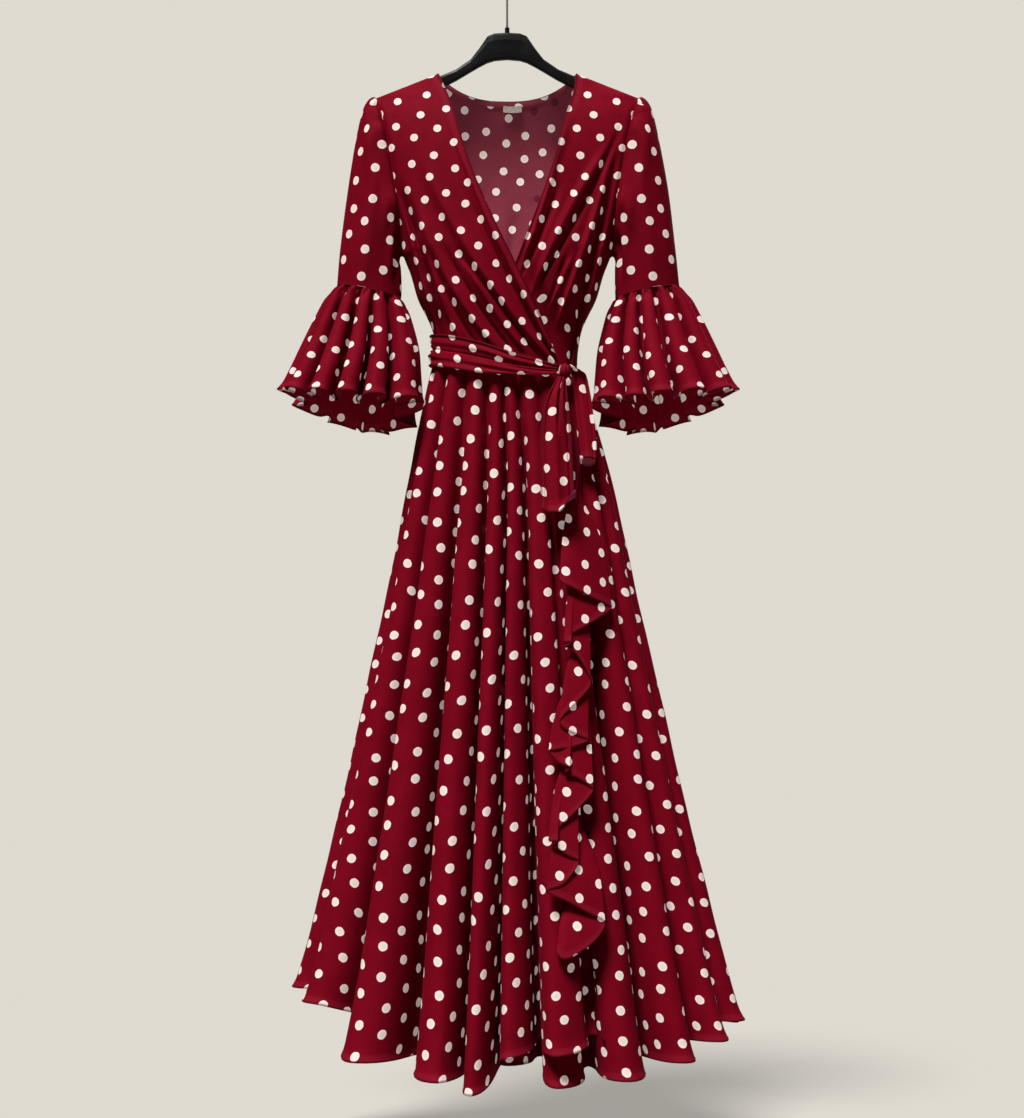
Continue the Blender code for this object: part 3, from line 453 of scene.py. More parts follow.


# %% [markdown]
# ## The crepe
#
# The crepe is a matt, densely dyed weave with a low bloom on its folds.  The wrong side is paler, with
# the print showing through.  Thin cloth lets light through, most where it isn't dyed.  A translucent
# shader would do that at the cost of a noisy picture, so a faint emission in the cloth's own colour,
# strongest on the dots, stands in for that light as painted glow.  It also keeps the dots, and the cloth
# inside the dress and the flounces, bright where they lie in shade.

# %% The crepe, right side and wrong side
FINE_PRINT = 0.89         # size of the print on the bodice, the flounces and the sash band
# On the right side only the dots have painted glow, an emission that keeps them bright in shade; their
# colours are set lower to match.
RIGHT_DYE_AND_GLOW = {
    "colour": (0.160, 0.0012, 0.0098),
    "dark": (0.132, 0.0009, 0.0078),
    "dot_rim": (0.66, 0.55, 0.53),
    "dot_middle": (0.55, 0.475, 0.435),
    "through": 0.0,
    "painted_glow": (0.0, 0.40),
}
# The wrong side is paler, and its colour is lifted further to offset the shade inside the dress; its
# cloth and its dots both have painted glow.
WRONG_DYE_AND_GLOW = {
    "colour": (0.205, 0.033, 0.053),
    "dark": (0.180, 0.028, 0.046),
    "dot_rim": (0.86, 0.74, 0.70),
    "dot_middle": (0.74, 0.65, 0.60),
    "through": 0.22,
    "painted_glow": (0.24, 0.34),
}
# Inside a flounce: the right side's colours with stronger painted glow, which lifts the shade inside the
# flounce.
INNER_DYE_AND_GLOW = {**RIGHT_DYE_AND_GLOW, "painted_glow": (0.20, 0.50)}  # inside a flounce, where the cloth is as red as outside


def crepe(name, colour, dark, dot_rim, dot_middle, through, painted_glow, scale=1.0):
    """Dotted crepe.  colour and dark are the dyed cloth, dot_rim and dot_middle the print, through the
    share of dots that only show darkly from the layer behind, painted_glow the painted light: an emission
    on the dyed cloth and on its undyed dots that stands for light through the cloth and lifts them in
    shade, and scale the size of the print."""
    mat, tree, shader = new_material(name)
    flat, u, v = uv_parts(tree, "flat")
    _, along, from_edge = uv_parts(tree, "edge")
    u = math_node(tree, "DIVIDE", u, scale)
    v = math_node(tree, "DIVIDE", v, scale)
    distance, drawn = dot_distance(tree, u, v, PRINT_TURN, PRINT_SHIFT)
    radius = DOT_ACROSS / 2
    wobble = math_node(tree, "MULTIPLY_ADD", noise(tree, flat, 260.0), 0.0012, -0.0006)
    distance = math_node(tree, "ADD", distance, wobble)
    dot = step_between(tree, distance, radius - 0.0004, radius + 0.0004, 1.0, 0.0)
    rim = step_between(tree, distance, radius * 0.55, radius * 0.85)
    print_colour = mix_colour(tree, rim, dot_middle, dot_rim)
    if through:
        shows = math_node(tree, "LESS_THAN", drawn, through)
        print_colour = mix_colour(tree, shows, print_colour, shade(dark, 0.55))
    cloth_colour = mix_colour(tree, dot, dyed(tree, flat, u, v, colour, dark), print_colour)
    # The colour gets the painted shade and the painted highlight of the hem.
    cloth_colour = hem_shade_and_light(tree, cloth_colour, from_edge, dark)
    tree.links.new(cloth_colour, shader.inputs["Base Color"])
    # Painted glow: the emission takes the cloth's own colour and is strongest on the dots.
    tree.links.new(cloth_colour, shader.inputs["Emission Color"])
    light = math_node(tree, "MULTIPLY_ADD", dot, painted_glow[1] - painted_glow[0], painted_glow[0])
    tree.links.new(light, shader.inputs["Emission Strength"])
    mat.cycles.emission_sampling = "NONE"  # too faint to light anything else
    set_values(shader, {"Roughness": 0.70, "Specular IOR Level": 0.03, "Sheen Weight": 0.04,
                        "Sheen Roughness": 0.40, "Sheen Tint": (0.70, 0.06, 0.12, 1.0)})
    raised(tree, shader, weave(tree, flat, along, from_edge), 0.5, 1.0)
    return mat


RIGHT_SIDE = crepe("crepe_right_side", **RIGHT_DYE_AND_GLOW)
WRONG_SIDE = crepe("crepe_wrong_side", **WRONG_DYE_AND_GLOW)
FINE_RIGHT_SIDE = crepe("crepe_fine_right_side", **RIGHT_DYE_AND_GLOW, scale=FINE_PRINT)
FINE_WRONG_SIDE = crepe("crepe_fine_wrong_side", **WRONG_DYE_AND_GLOW, scale=FINE_PRINT)
INSIDE_FLOUNCE_GLOW = crepe("crepe_inside_flounce_glow", **INNER_DYE_AND_GLOW, scale=FINE_PRINT)
CREPE = [RIGHT_SIDE, WRONG_SIDE]
FINE_CREPE = [FINE_RIGHT_SIDE, FINE_WRONG_SIDE]
BELL_CREPE = [FINE_RIGHT_SIDE, INSIDE_FLOUNCE_GLOW]
print("crepe:", len(RIGHT_SIDE.node_tree.nodes), "nodes")

# %% [markdown]
# ## The bodice
#
# The bodice is two fronts that cross over and a back, hung from the shoulders and held by the sash at
# the waist.  It could be draped over a modelled body.  Here its sections stand in for that body: how
# wide and how deep it is at each height, and where the two free edges run.

# %% Sections of the bodice
# Half width of the side seam and the depth of the front and back at the middle, going down.
BODY = (
    ("z", "side", "front", "back"),
    (-0.1288, 0.0994, 0.0150, 0.0140),
    (-0.1654, 0.1906, 0.0310, 0.0250),
    (-0.1910, 0.1860, 0.0430, 0.0300),
    (-0.2330, 0.1810, 0.0560, 0.0400),
    (-0.3090, 0.1680, 0.0680, 0.0490),
    (-0.3960, 0.1492, 0.0740, 0.0550),
    (-0.4240, 0.1385, 0.0735, 0.0570),
    (-0.4580, 0.1285, 0.0715, 0.0585),
    (-0.5050, 0.1070, 0.0640, 0.0585),
    (-0.5300, 0.1022, 0.0610, 0.0580),
    (-0.6000, 0.1010, 0.0600, 0.0595),
)

# Free edge of the top wrapped front, from the shoulder down to the knot.
EDGE_OVER = (
    ("x", "z"),
    (-0.0994, -0.1288),
    (-0.0761, -0.1922),
    (-0.0640, -0.2372),
    (-0.0515, -0.2780),
    (-0.0242, -0.3446),
    (0.0084, -0.4124),
    (0.0380, -0.4728),
    (0.0740, -0.5600),
)

# Free edge of the wrapped front underneath, from the other shoulder down to where it is hidden.
EDGE_UNDER = (
    ("x", "z"),
    (0.0994, -0.1288),
    (0.0957, -0.1589),
    (0.0813, -0.2089),
    (0.0682, -0.2651),
    (0.0396, -0.3466),
    (0.0225, -0.3918),
    (0.0042, -0.4369),
    (-0.0300, -0.5420),
)

# %% [markdown]
# ## The shape under the folds
#
# Seen from the front, the outline of the body is the slope of the shoulder, the curve of the armhole and
# the side seam.  From it the cloth swells forward to the depth of the middle.  A part of an oval would
# do that, but it would be too pointed in the middle, so a flatter curve with a higher power is used.

# %% The body's outline and depth
SWELL = 2.3               # power of the swell from the outline to the middle: 2 would be an oval


def waist_z(x):
    """Height of the waist seam, which drops towards the knot."""
    return WAIST_Z + WAIST_TILT * x


def outline(z):
    """Half width and edge depth of the body at each height: shoulder seam, armhole, side seam."""
    body = columns(BODY)
    side = smooth(-z, -body["z"], body["side"])
    c = np.clip((z - (TIP_Z + PIT_Z) / 2) / ((TIP_Z - PIT_Z) / 2), -1, 1)
    cut = np.sqrt(1 - c * c)
    hole = (TIP_X + PIT_X) / 2 + c * (TIP_X - PIT_X) / 2 - ARMHOLE_BOW * cut**2
    seam = NECK_X + (NECK_Z - z) * (TIP_X - NECK_X) / (NECK_Z - TIP_Z)
    half = np.where(z > TIP_Z, seam, np.where(z > PIT_Z, hole, np.minimum(side, PIT_X)))
    edge = np.where((z < TIP_Z) & (z > PIT_Z), ARMHOLE_DEEP * cut, 0.0)
    return half, edge + CLOTH * 0.5


def depth(x, z, part):
    """How far the front or back stands off the middle plane.  It swells from the outline to the depth
    of the middle along (1 - (1 - s)^p)^(1 / p) with the power p = SWELL, and by the armhole it keeps the
    armhole's own depth: the two are joined as the fourth root of the sum of their fourth powers."""
    body = columns(BODY)
    half, edge = outline(z)
    middle = smooth(-z, -body["z"], body[part])
    s = np.clip(1 - np.abs(x) / half, 0, 1)
    swell = middle * (1 - (1 - s) ** SWELL) ** (1 / SWELL)
    return (swell**4 + edge**4) ** 0.25


# %% [markdown]
# ## The folds of the bodice
#
# The fronts are pulled to the side by the sash, so their folds fan out from the knot: close and sharp
# beside it, wide and faint by the shoulder.  They could be sculpted.  Here each one is a row of a table,
# a curved line with a ridge or a valley along it.  A fold is steeper on its lower side, where the cloth
# above sags over it, so the ridge's profile is skewed.

# %% Folds of the bodice
# Each fold runs from its waist end (x0, z0) through (xm, zm) to its far end (x1, z1).  A negative height
# is a valley, and valleys are narrower than ridges.
FOLDS_OVER = (
    ("x0", "z0", "xm", "zm", "x1", "z1", "half", "high"),
    (0.0620, -0.5382, -0.0029, -0.4114, -0.0824, -0.2120, 0.0045, 0.0048),
    (0.0648, -0.5496, -0.0029, -0.4343, -0.0638, -0.3040, 0.0045, -0.0060),
    (0.0535, -0.5453, -0.0198, -0.4557, -0.1206, -0.2681, 0.0090, 0.0072),
    (0.0352, -0.5382, -0.0085, -0.4813, -0.0736, -0.4000, 0.0042, -0.0064),
    (0.0183, -0.5354, -0.0198, -0.4842, -0.0594, -0.4171, 0.0060, 0.0060),
    (-0.0015, -0.5325, -0.0410, -0.4785, -0.0948, -0.3857, 0.0042, -0.0060),
    (-0.0240, -0.5283, -0.0763, -0.4557, -0.1375, -0.3012, 0.0085, 0.0072),
    (-0.0494, -0.5240, -0.0819, -0.4671, -0.1160, -0.3785, 0.0045, -0.0060),
    (-0.0734, -0.5140, -0.0989, -0.4500, -0.1231, -0.3642, 0.0060, 0.0044),
    (-0.0931, -0.5169, -0.1216, -0.4028, -0.1559, -0.3012, 0.0058, -0.0124),
    (-0.0988, -0.5140, -0.1301, -0.4071, -0.1487, -0.3313, 0.0035, 0.0060),
)
FOLDS_UNDER = (
    ("x0", "z0", "xm", "zm", "x1", "z1", "half", "high"),
    (0.0211, -0.4220, 0.0552, -0.3203, 0.0909, -0.1849, 0.0045, 0.0048),
    (0.0240, -0.4306, 0.0481, -0.3777, 0.0751, -0.2987, 0.0045, -0.0060),
    (0.0367, -0.4563, 0.0736, -0.3719, 0.1490, -0.2412, 0.0085, 0.0072),
    (0.0480, -0.4449, 0.0991, -0.3490, 0.1633, -0.2152, 0.0045, -0.0072),
    (0.0762, -0.4891, 0.1160, -0.3762, 0.1518, -0.2642, 0.0070, 0.0072),
    (0.0593, -0.4734, 0.0706, -0.4420, 0.0848, -0.4063, 0.0035, -0.0044),
    (0.0649, -0.4734, 0.0791, -0.4377, 0.0933, -0.4063, 0.0040, 0.0040),
    (0.0902, -0.5461, 0.1202, -0.4063, 0.1603, -0.2441, 0.0058, -0.0124),
    (0.0987, -0.5376, 0.1272, -0.4249, 0.1459, -0.3461, 0.0035, 0.0060),
)
FOLDS_BACK = (
    ("x0", "z0", "xm", "zm", "x1", "z1", "half", "high"),
    (-0.0500, -0.5400, -0.0820, -0.4400, -0.1060, -0.3000, 0.0100, 0.0080),
    (-0.0720, -0.5400, -0.1000, -0.4450, -0.1220, -0.3400, 0.0045, -0.0080),
    (-0.0250, -0.5400, -0.0400, -0.4500, -0.0500, -0.3600, 0.0080, 0.0060),
    (0.0500, -0.5400, 0.0820, -0.4400, 0.1060, -0.3000, 0.0100, 0.0080),
    (0.0740, -0.5400, 0.1010, -0.4450, 0.1240, -0.3400, 0.0045, -0.0080),
    (0.0250, -0.5400, 0.0420, -0.4500, 0.0560, -0.3700, 0.0080, 0.0056),
    (0.0000, -0.5400, 0.0040, -0.4300, 0.0100, -0.3100, 0.0090, 0.0056),
    (-0.1280, -0.4400, -0.1050, -0.3200, -0.0700, -0.2200, 0.0100, 0.0064),
    (0.1280, -0.4400, 0.1050, -0.3200, 0.0700, -0.2200, 0.0100, 0.0064),
)


def fold_lines(x, z, table):
    """Height of the folds at each place.

    A fold is a curve from its first to its last point that bows out to its middle point, by the middle
    point's distance from the straight line times a (1 - a) / (m (1 - m)).  Across it the height is a
    skewed hump exp(-(d / w)^2), wider above than below and narrower towards the knot."""
    f = columns(table)
    dx, dz = f["x1"] - f["x0"], f["z1"] - f["z0"]
    long = np.hypot(dx, dz)
    mx, mz = f["xm"] - f["x0"], f["zm"] - f["z0"]
    m = np.clip((mx * dx + mz * dz) / long**2, 0.2, 0.8)
    bow = (mx * dz - mz * dx) / long / (m * (1 - m))
    px, pz = x[..., None] - f["x0"], z[..., None] - f["z0"]
    along = (px * dx + pz * dz) / long**2
    a = np.clip(along, -0.1, 1.1)
    across = (px * dz - pz * dx) / long - bow * a * (1 - a)
    wide = f["half"] * (0.50 + 0.70 * np.clip(along, 0, 1)) * np.where(across > 0, 1.2, 0.8)
    hump = np.exp(-((across / wide) ** 2)) * ease(-0.12, 0.05, along) * (1 - ease(0.70, 1.08, along))
    return (f["high"] * hump).sum(axis=-1)


# %% [markdown]
# ## The wrapped fronts
#
# Each front is one grid from the armhole side to its free edge, so that the edge is a clean line of the
# mesh and gets a rolled hem.  Two grids cut out of one surface with a boolean would leave ragged edges.
# Where the top front covers the other one, the cloth underneath lies further in and is pressed flatter.

# %% The wrapped fronts
FRONT_UNDER_IN = 0.0070   # how far the front underneath lies inside the top one


def along_line(table, f):
    """Points at the shares f of the length of a table's x, z line."""
    t = columns(table)
    run = np.concatenate([[0], np.cumsum(np.hypot(np.diff(t["x"]), np.diff(t["z"])))])
    run = run / run[-1]
    return smooth(f, run, t["x"]), smooth(f, run, t["z"])


def front_panel(name, edge_line, side, inset, folds, seed, rows=120, cols=100):
    """One wrapped front: rows from the shoulder seam to the waist, columns from armhole to free edge."""
    v = np.linspace(0, 1, rows)[:, None]
    u = to_hem(cols, 0.14)[None, :] ** 1.25
    out_z = TIP_Z + (waist_z(side * WAIST_A) - TIP_Z) * v
    in_x, in_z = along_line(edge_line, v)
    half, _ = outline(out_z)
    x = side * half * (1 - u) + in_x * u
    z = out_z * (1 - u) + in_z * u
    low = waist_z(x)
    z = np.maximum(z, low + (1 - v) * 0.001)
    z[-1] = low[-1]
    over = columns(EDGE_OVER)
    covered = (1 - ease(0.006, 0.030, x - smooth(-z, -over["z"], over["x"]))) * np.minimum(1, 3 * u)
    held = np.minimum(1, u * 12) * ease(0, 0.08, v) * (1 - 0.7 * covered * (inset > 0))
    y = -depth(x, z, "front") - fold_lines(x, z, folds) * held + inset * covered
    y = y - ripple(x, z, 0.0011, seed) * held
    dip = ARMHOLE_DIP * bump(0.0, 0.005, np.abs(side * half - x))
    y = y + dip * ease(0, 0.08, v) * (1 - ease(0.50, 0.62, v))
    points = stack(x, y, z)
    run = level_run(points)
    middle = points.shape[1] // 2
    flat = pair(run - run[:, middle:middle + 1] - side * x[:, middle:middle + 1], z)
    edge = pair(run_down(points), run[:, -1:] - run)
    grids = (points, flat, edge) if side < 0 else turned(points, flat, edge)
    return cloth(name, *grids, FINE_CREPE)


front_panel("bodice_front_over_cloth", EDGE_OVER, -1, 0.0, FOLDS_OVER, 3)
front_panel("bodice_front_under_cloth", EDGE_UNDER, 1, FRONT_UNDER_IN, FOLDS_UNDER, 4)

# %% [markdown]
# ## The back
#
# The back is in one piece and only dips at the neck.  It could be a front panel mirrored, but its top
# edge is part of its shape: the rows start as the shoulder seams and neckline and level out to the waist.

# %% The back
def top_z(x):
    """Height of the top edge of the back: the shoulder seams, and the neckline dipping between them."""
    seam = NECK_Z - (np.abs(x) - NECK_X) * (NECK_Z - TIP_Z) / (TIP_X - NECK_X)
    dip = NECK_Z - NECK_DIP * (1 - np.clip(np.abs(x) / NECK_X, 0, 1) ** 2.6)
    return np.where(np.abs(x) >= NECK_X, seam, dip)


def back_points(v, xi):
    """Points of the back: v from the top edge to the waist, xi from the left side to the right."""
    xi, v = np.broadcast_arrays(xi, v)
    low = waist_z(xi * WAIST_A)
    out_z = TIP_Z + (low - TIP_Z) * v
    half, _ = outline(out_z)
    x = xi * half
    rise = top_z(xi * TIP_X) - TIP_Z
    z = np.minimum(out_z + rise * (1 - v) ** 2, top_z(x))
    held = np.minimum(1, (1 - np.abs(xi)) * 8) * ease(0.02, 0.12, v)
    y = depth(x, z, "back") + (fold_lines(x, z, FOLDS_BACK) + ripple(x, z, 0.0012, 5)) * held
    return stack(x, y, z)


def back(rows=120, cols=150):
    """The back in one piece, with a narrow hem along the neckline."""
    xi = np.linspace(-1, 1, cols)[None, :]
    xi = np.sign(xi) * (1 - (1 - np.abs(xi)) ** 1.15)
    v = to_hem(rows, 0.40, ends=(0,))[:, None]
    points = back_points(v, xi)
    run = level_run(points)
    middle = points.shape[1] // 2
    flat = pair(run - run[:, middle:middle + 1], points[..., 2])
    neck = np.where(np.abs(points[:1, :, 0]) < NECK_X, 0.0, 0.01)
    edge = pair(run, run_down(points) + neck)
    return cloth("bodice_back_cloth", *turned(points, flat, edge), FINE_CREPE)


back()

# %% [markdown]
# ## The sleeves
#
# A sleeve is a tube through ovals that start as the armhole and end as the cuff.  Its head is gathered
# into the armhole over the shoulder, which leaves small puckers there, and a few soft folds hang down
# from the armhole because the sleeve is cut wider than a flat one.

# %% Sleeves
# Rings of the sleeve from the armhole to the cuff: outer and inner end of the ring, half depth.
SLEEVE = (
    ("out_x", "out_z", "in_x", "in_z", "deep"),
    (0.1913, -0.1654, 0.1536, -0.3960, 0.0390),
    (0.2030, -0.1712, 0.1550, -0.4000, 0.0425),
    (0.2105, -0.1900, 0.1558, -0.4065, 0.0440),
    (0.2195, -0.2340, 0.1558, -0.4180, 0.0430),
    (0.2300, -0.3017, 0.1550, -0.4310, 0.0410),
    (0.2405, -0.3850, 0.1542, -0.4460, 0.0390),
    (0.2447, -0.4390, 0.1530, -0.4580, 0.0370),
)

# Place round the sleeve (90 the front), where the fold starts and ends, its half width and height.
SLEEVE_FOLDS = (
    ("deg", "v0", "v1", "half", "high"),
    (58, -0.10, 0.55, 0.0070, 0.0042),
    (84, 0.25, 1.10, 0.0085, 0.0030),
    (112, -0.10, 0.66, 0.0070, 0.0050),
    (132, 0.05, 0.90, 0.0065, 0.0052),
    (149, -0.20, 0.85, 0.0060, -0.0080),
    (164, 0.30, 1.15, 0.0070, 0.0036),
    (210, 0.00, 0.80, 0.0090, 0.0034),
    (245, -0.10, 0.60, 0.0080, 0.0030),
    (290, -0.10, 0.70, 0.0080, 0.0028),
)
SLEEVE_RADIUS = 0.040     # mean radius, which turns an angle round the sleeve into a length
TUCK_IN = 0.0040          # how far the top of the sleeve is tucked into the armhole
TUCK_FLAT = 0.04          # and the share by which it is flattened there
HALF_PUCKERS = 9          # puckers on half the way round


def sections(table, v):
    """A table whose rows are rings at equal steps, read at the shares v, as one array per name."""
    at = np.linspace(0, 1, len(table) - 1)
    return {name: smooth(v, at, values) for name, values in columns(table).items()}


def ring(table, v, phi, side):
    """The ring at the share v down a table: an oval with one diameter from its outer to inner end."""
    t = sections(table, v)
    c, s = np.cos(phi), np.sin(phi)
    x = (t["out_x"] + t["in_x"]) / 2 + c * (t["out_x"] - t["in_x"]) / 2
    z = (t["out_z"] + t["in_z"]) / 2 + c * (t["out_z"] - t["in_z"]) / 2
    return stack(side * x, -t["deep"] * s, z)


def round_off(grid):
    """A closed grid with its first column again at the end."""
    return np.concatenate([grid, grid[:, :1]], axis=1)


def sleeve(name, side, seed, rows=90, cols=110):
    """A sleeve: the ovals, plus a puffed head with narrow puckers (a cosine to the power 12), soft folds
    and a little unevenness.  Its seam runs down the inner side, next to the body."""
    v = np.linspace(0, 1, rows)[:, None]
    phi = np.linspace(-np.pi, np.pi, cols, endpoint=False)[None, :]
    points = ring(SLEEVE, v, phi, side)
    points[..., 0] += SWING_RIGHT * max(side, 0) * v
    points[..., 0] -= side * ARMHOLE_BOW * np.sin(phi) ** 2 * (1 - ease(0, 0.35, v))
    tuck = 1 - ease(0, 0.03, v)
    points[..., 0] -= side * TUCK_IN * tuck
    points[..., 1] *= 1 - TUCK_FLAT * tuck
    out = normals(points) * -side
    f = columns(SLEEVE_FOLDS)
    apart = (np.degrees(phi)[..., None] - f["deg"] + 180) % 360 - 180
    across = np.radians(apart) * SLEEVE_RADIUS
    along = (v[..., None] - f["v0"]) / (f["v1"] - f["v0"])
    fold = np.exp(-((across / f["half"]) ** 2)) * ease(0, 0.25, along) * (1 - ease(0.6, 1, along))
    high = (f["high"] * fold).sum(axis=-1)
    head = ease(0.25, 0.9, np.cos(phi)) * (1 - ease(0.02, 0.20, v)) * ease(0, 0.02, v)
    high = high + head * (0.0030 - 0.0052 * np.cos(phi * HALF_PUCKERS + seed) ** 12)
    high = high + ripple(phi * SLEEVE_RADIUS, points[..., 2], 0.0010, seed)
    points = points + out * (high * ease(0, 0.03, v))[..., None]
    points[..., 1] += ARMHOLE_DIP * bump(0.0, 0.025, v) * np.sin(phi)
    whole = round_off(points)
    run = level_run(whole)
    front = 3 * cols // 4
    flat = pair(run - run[:, front:front + 1] - np.abs(whole[:, front:front + 1, 0]), whole[..., 2])
    edge = pair(run, 0.01 + run_down(whole)[-1:] - run_down(whole))
    grids = (points, flat, edge) if side < 0 else turned(points, flat, edge, closed=True)
    return cloth(name, *grids, CREPE, closed=True, hems=False)


sleeve("sleeve_left_cloth", -1, 11)
sleeve("sleeve_right_cloth", 1, 12)

# %% [markdown]
# ## Folds that use up the cloth
#
# A flounce and a flared skirt are cut as part circles, so each ring going down holds more cloth than the
# ring above it, and the extra stands up as folds.  So a fold's height isn't chosen: at each level it is
# solved by halving until the folded line is as long as the cloth.  That also keeps the pattern true, and
# a printed dot stays round on the cloth.

# %% Folds round a ring
def fold_wave(t, deg, ridge, valley):
    """Folds counted by t, a ridge at each whole number and a valley half way to the next.

    Gives the place round the ring, how far the cloth stands out (ridge +, valley -, with a cosine
    between) and two sideways moves: (a1 - a0) sin(2 pi t) / pi makes ridges wide and valleys narrow,
    and (a1 - a0) sin(4 pi t) / 2 pi makes the walls between them steep."""
    n = len(deg)
    here = np.radians(deg)
    after = np.roll(here, -1) + np.where(np.arange(n) == n - 1, 2 * np.pi, 0)
    place = np.stack([here, here + (after - here) / 2], axis=-1).reshape(-1)
    out = np.stack([ridge, -valley], axis=-1).reshape(-1)
    j = np.floor(2 * t).astype(int)
    f = 2 * t - j
    a0 = place[j % (2 * n)] + 2 * np.pi * (j // (2 * n))
    a1 = place[(j + 1) % (2 * n)] + 2 * np.pi * ((j + 1) // (2 * n))
    e0, e1 = out[j % (2 * n)], out[(j + 1) % (2 * n)]
    height = e0 + (e1 - e0) * (1 - np.cos(np.pi * f)) / 2
    roll = (a1 - a0) * np.sin(2 * np.pi * t) / np.pi
    wall = (a1 - a0) * np.sin(4 * np.pi * t) / (2 * np.pi)
    return a0 + (a1 - a0) * f, height, roll, wall


def oval(angle, a, b):
    """A point of the oval (0 the front, a quarter turn to +X) and its outward direction."""
    s, c = np.sin(angle), np.cos(angle)
    nx, ny = b * s, -a * c
    size = np.hypot(nx, ny)
    return a * s, -b * c, nx / size, ny / size


# %% [markdown]
# ## Folding to a length, and the flat part circle
#
# The fold height could come from a formula for the length of a wave, but these waves roll over and have
# no such formula.  Halving finds it: try a height, measure the ring, and keep the half that holds the
# answer.  On the table, the same rings lie as arcs of a part circle.

# %% Fold height and flat sector
HALVINGS = 24             # enough to find a height to a few millionths of a millimetre


def length_round(x, y):
    """Length of closed lines, one to a row."""
    dx = np.roll(x, -1, axis=1) - x
    dy = np.roll(y, -1, axis=1) - y
    return np.hypot(dx, dy).sum(axis=1, keepdims=True)


def solve_height(shape, wanted, most):
    """The fold height that makes each ring as long as its cloth, found by halving."""
    low = np.zeros_like(wanted)
    high = np.full_like(wanted, most)
    for _ in range(HALVINGS):
        mid = (low + high) / 2
        short = length_round(*shape(mid)) < wanted
        low = np.where(short, mid, low)
        high = np.where(short, high, mid)
    return (low + high) / 2


def sector(share, down, first, last, long):
    """Flat coordinates of a part circle whose edge grows from first to last over the length long.

    Its angle is (last - first) / long and its inner radius first / angle."""
    turn = (last - first) / long
    radius = first / turn + down
    return pair(radius * np.sin(turn * share), -radius * np.cos(turn * share)), radius * turn * share


# %% [markdown]
# ## The flounces
#
# Eleven folds fall from the tight gathers of the cuff.  The gathers are short, three to a fold, and run
# out within a few centimetres.  The hem kicks out a little, as a rolled hem on bias cloth does.

# %% Sections and folds of the flounces
# Rings of the flounce over its folds, from cuff to hem: the ends and how far front and back drop.
FLOUNCE = (
    ("out_x", "out_z", "in_x", "in_z", "deep", "front_drop", "back_drop"),
    (0.2448, -0.4398, 0.1529, -0.4588, 0.0370, 0.0000, 0.0000),
    (0.2625, -0.4570, 0.1430, -0.4740, 0.0450, 0.0015, 0.0020),
    (0.2765, -0.4825, 0.1350, -0.4960, 0.0540, 0.0030, 0.0060),
    (0.2960, -0.5230, 0.1250, -0.5330, 0.0700, 0.0045, 0.0180),
    (0.3110, -0.5540, 0.1212, -0.5680, 0.0830, 0.0050, 0.0280),
    (0.3300, -0.5900, 0.1185, -0.6080, 0.0940, 0.0050, 0.0380),
)
FLOUNCE_ROUND = (0.2700, 1.2500)      # length of cloth round the flounce at the cuff and at its hem
FLOUNCE_LONG = 0.1700                 # cuff to hem

# Folds of each flounce: place round it (0 outer side, 90 front, 180 by the body), ridge and valley.
FLOUNCE_FOLDS_LEFT = (
    ("deg", "ridge", "valley"),
    (8, 0.90, 1.00),
    (37, 1.00, 1.00),
    (64, 0.90, 1.10),
    (90, 1.00, 1.00),
    (114, 0.95, 1.10),
    (146, 1.25, 0.90),
    (182, 0.90, 1.00),
    (216, 1.00, 1.00),
    (249, 0.90, 1.00),
    (282, 1.00, 1.00),
    (318, 0.95, 1.00),
)
FLOUNCE_FOLDS_RIGHT = (
    ("deg", "ridge", "valley"),
    (6, 0.90, 1.00),
    (36, 1.00, 1.10),
    (68, 1.00, 1.10),
    (97, 1.00, 1.00),
    (121, 0.85, 1.10),
    (147, 1.25, 0.90),
    (183, 0.90, 1.00),
    (214, 1.00, 1.00),
    (250, 0.90, 1.00),
    (285, 1.00, 1.00),
    (319, 0.90, 1.00),
)

# %% [markdown]
# ## Rings from cuff to hem
#
# A flounce hangs lower at the back, its valleys hang lower than its ridges, and behind the arm its hem
# is a little livelier.  The rings could be drawn with all of that in them.  Here each of these is one
# height taken off or added on top of the folded rings, so that it can be changed alone.

# %% Flounces
FLOUNCE_MOST = 0.035      # no fold of a flounce stands higher than this


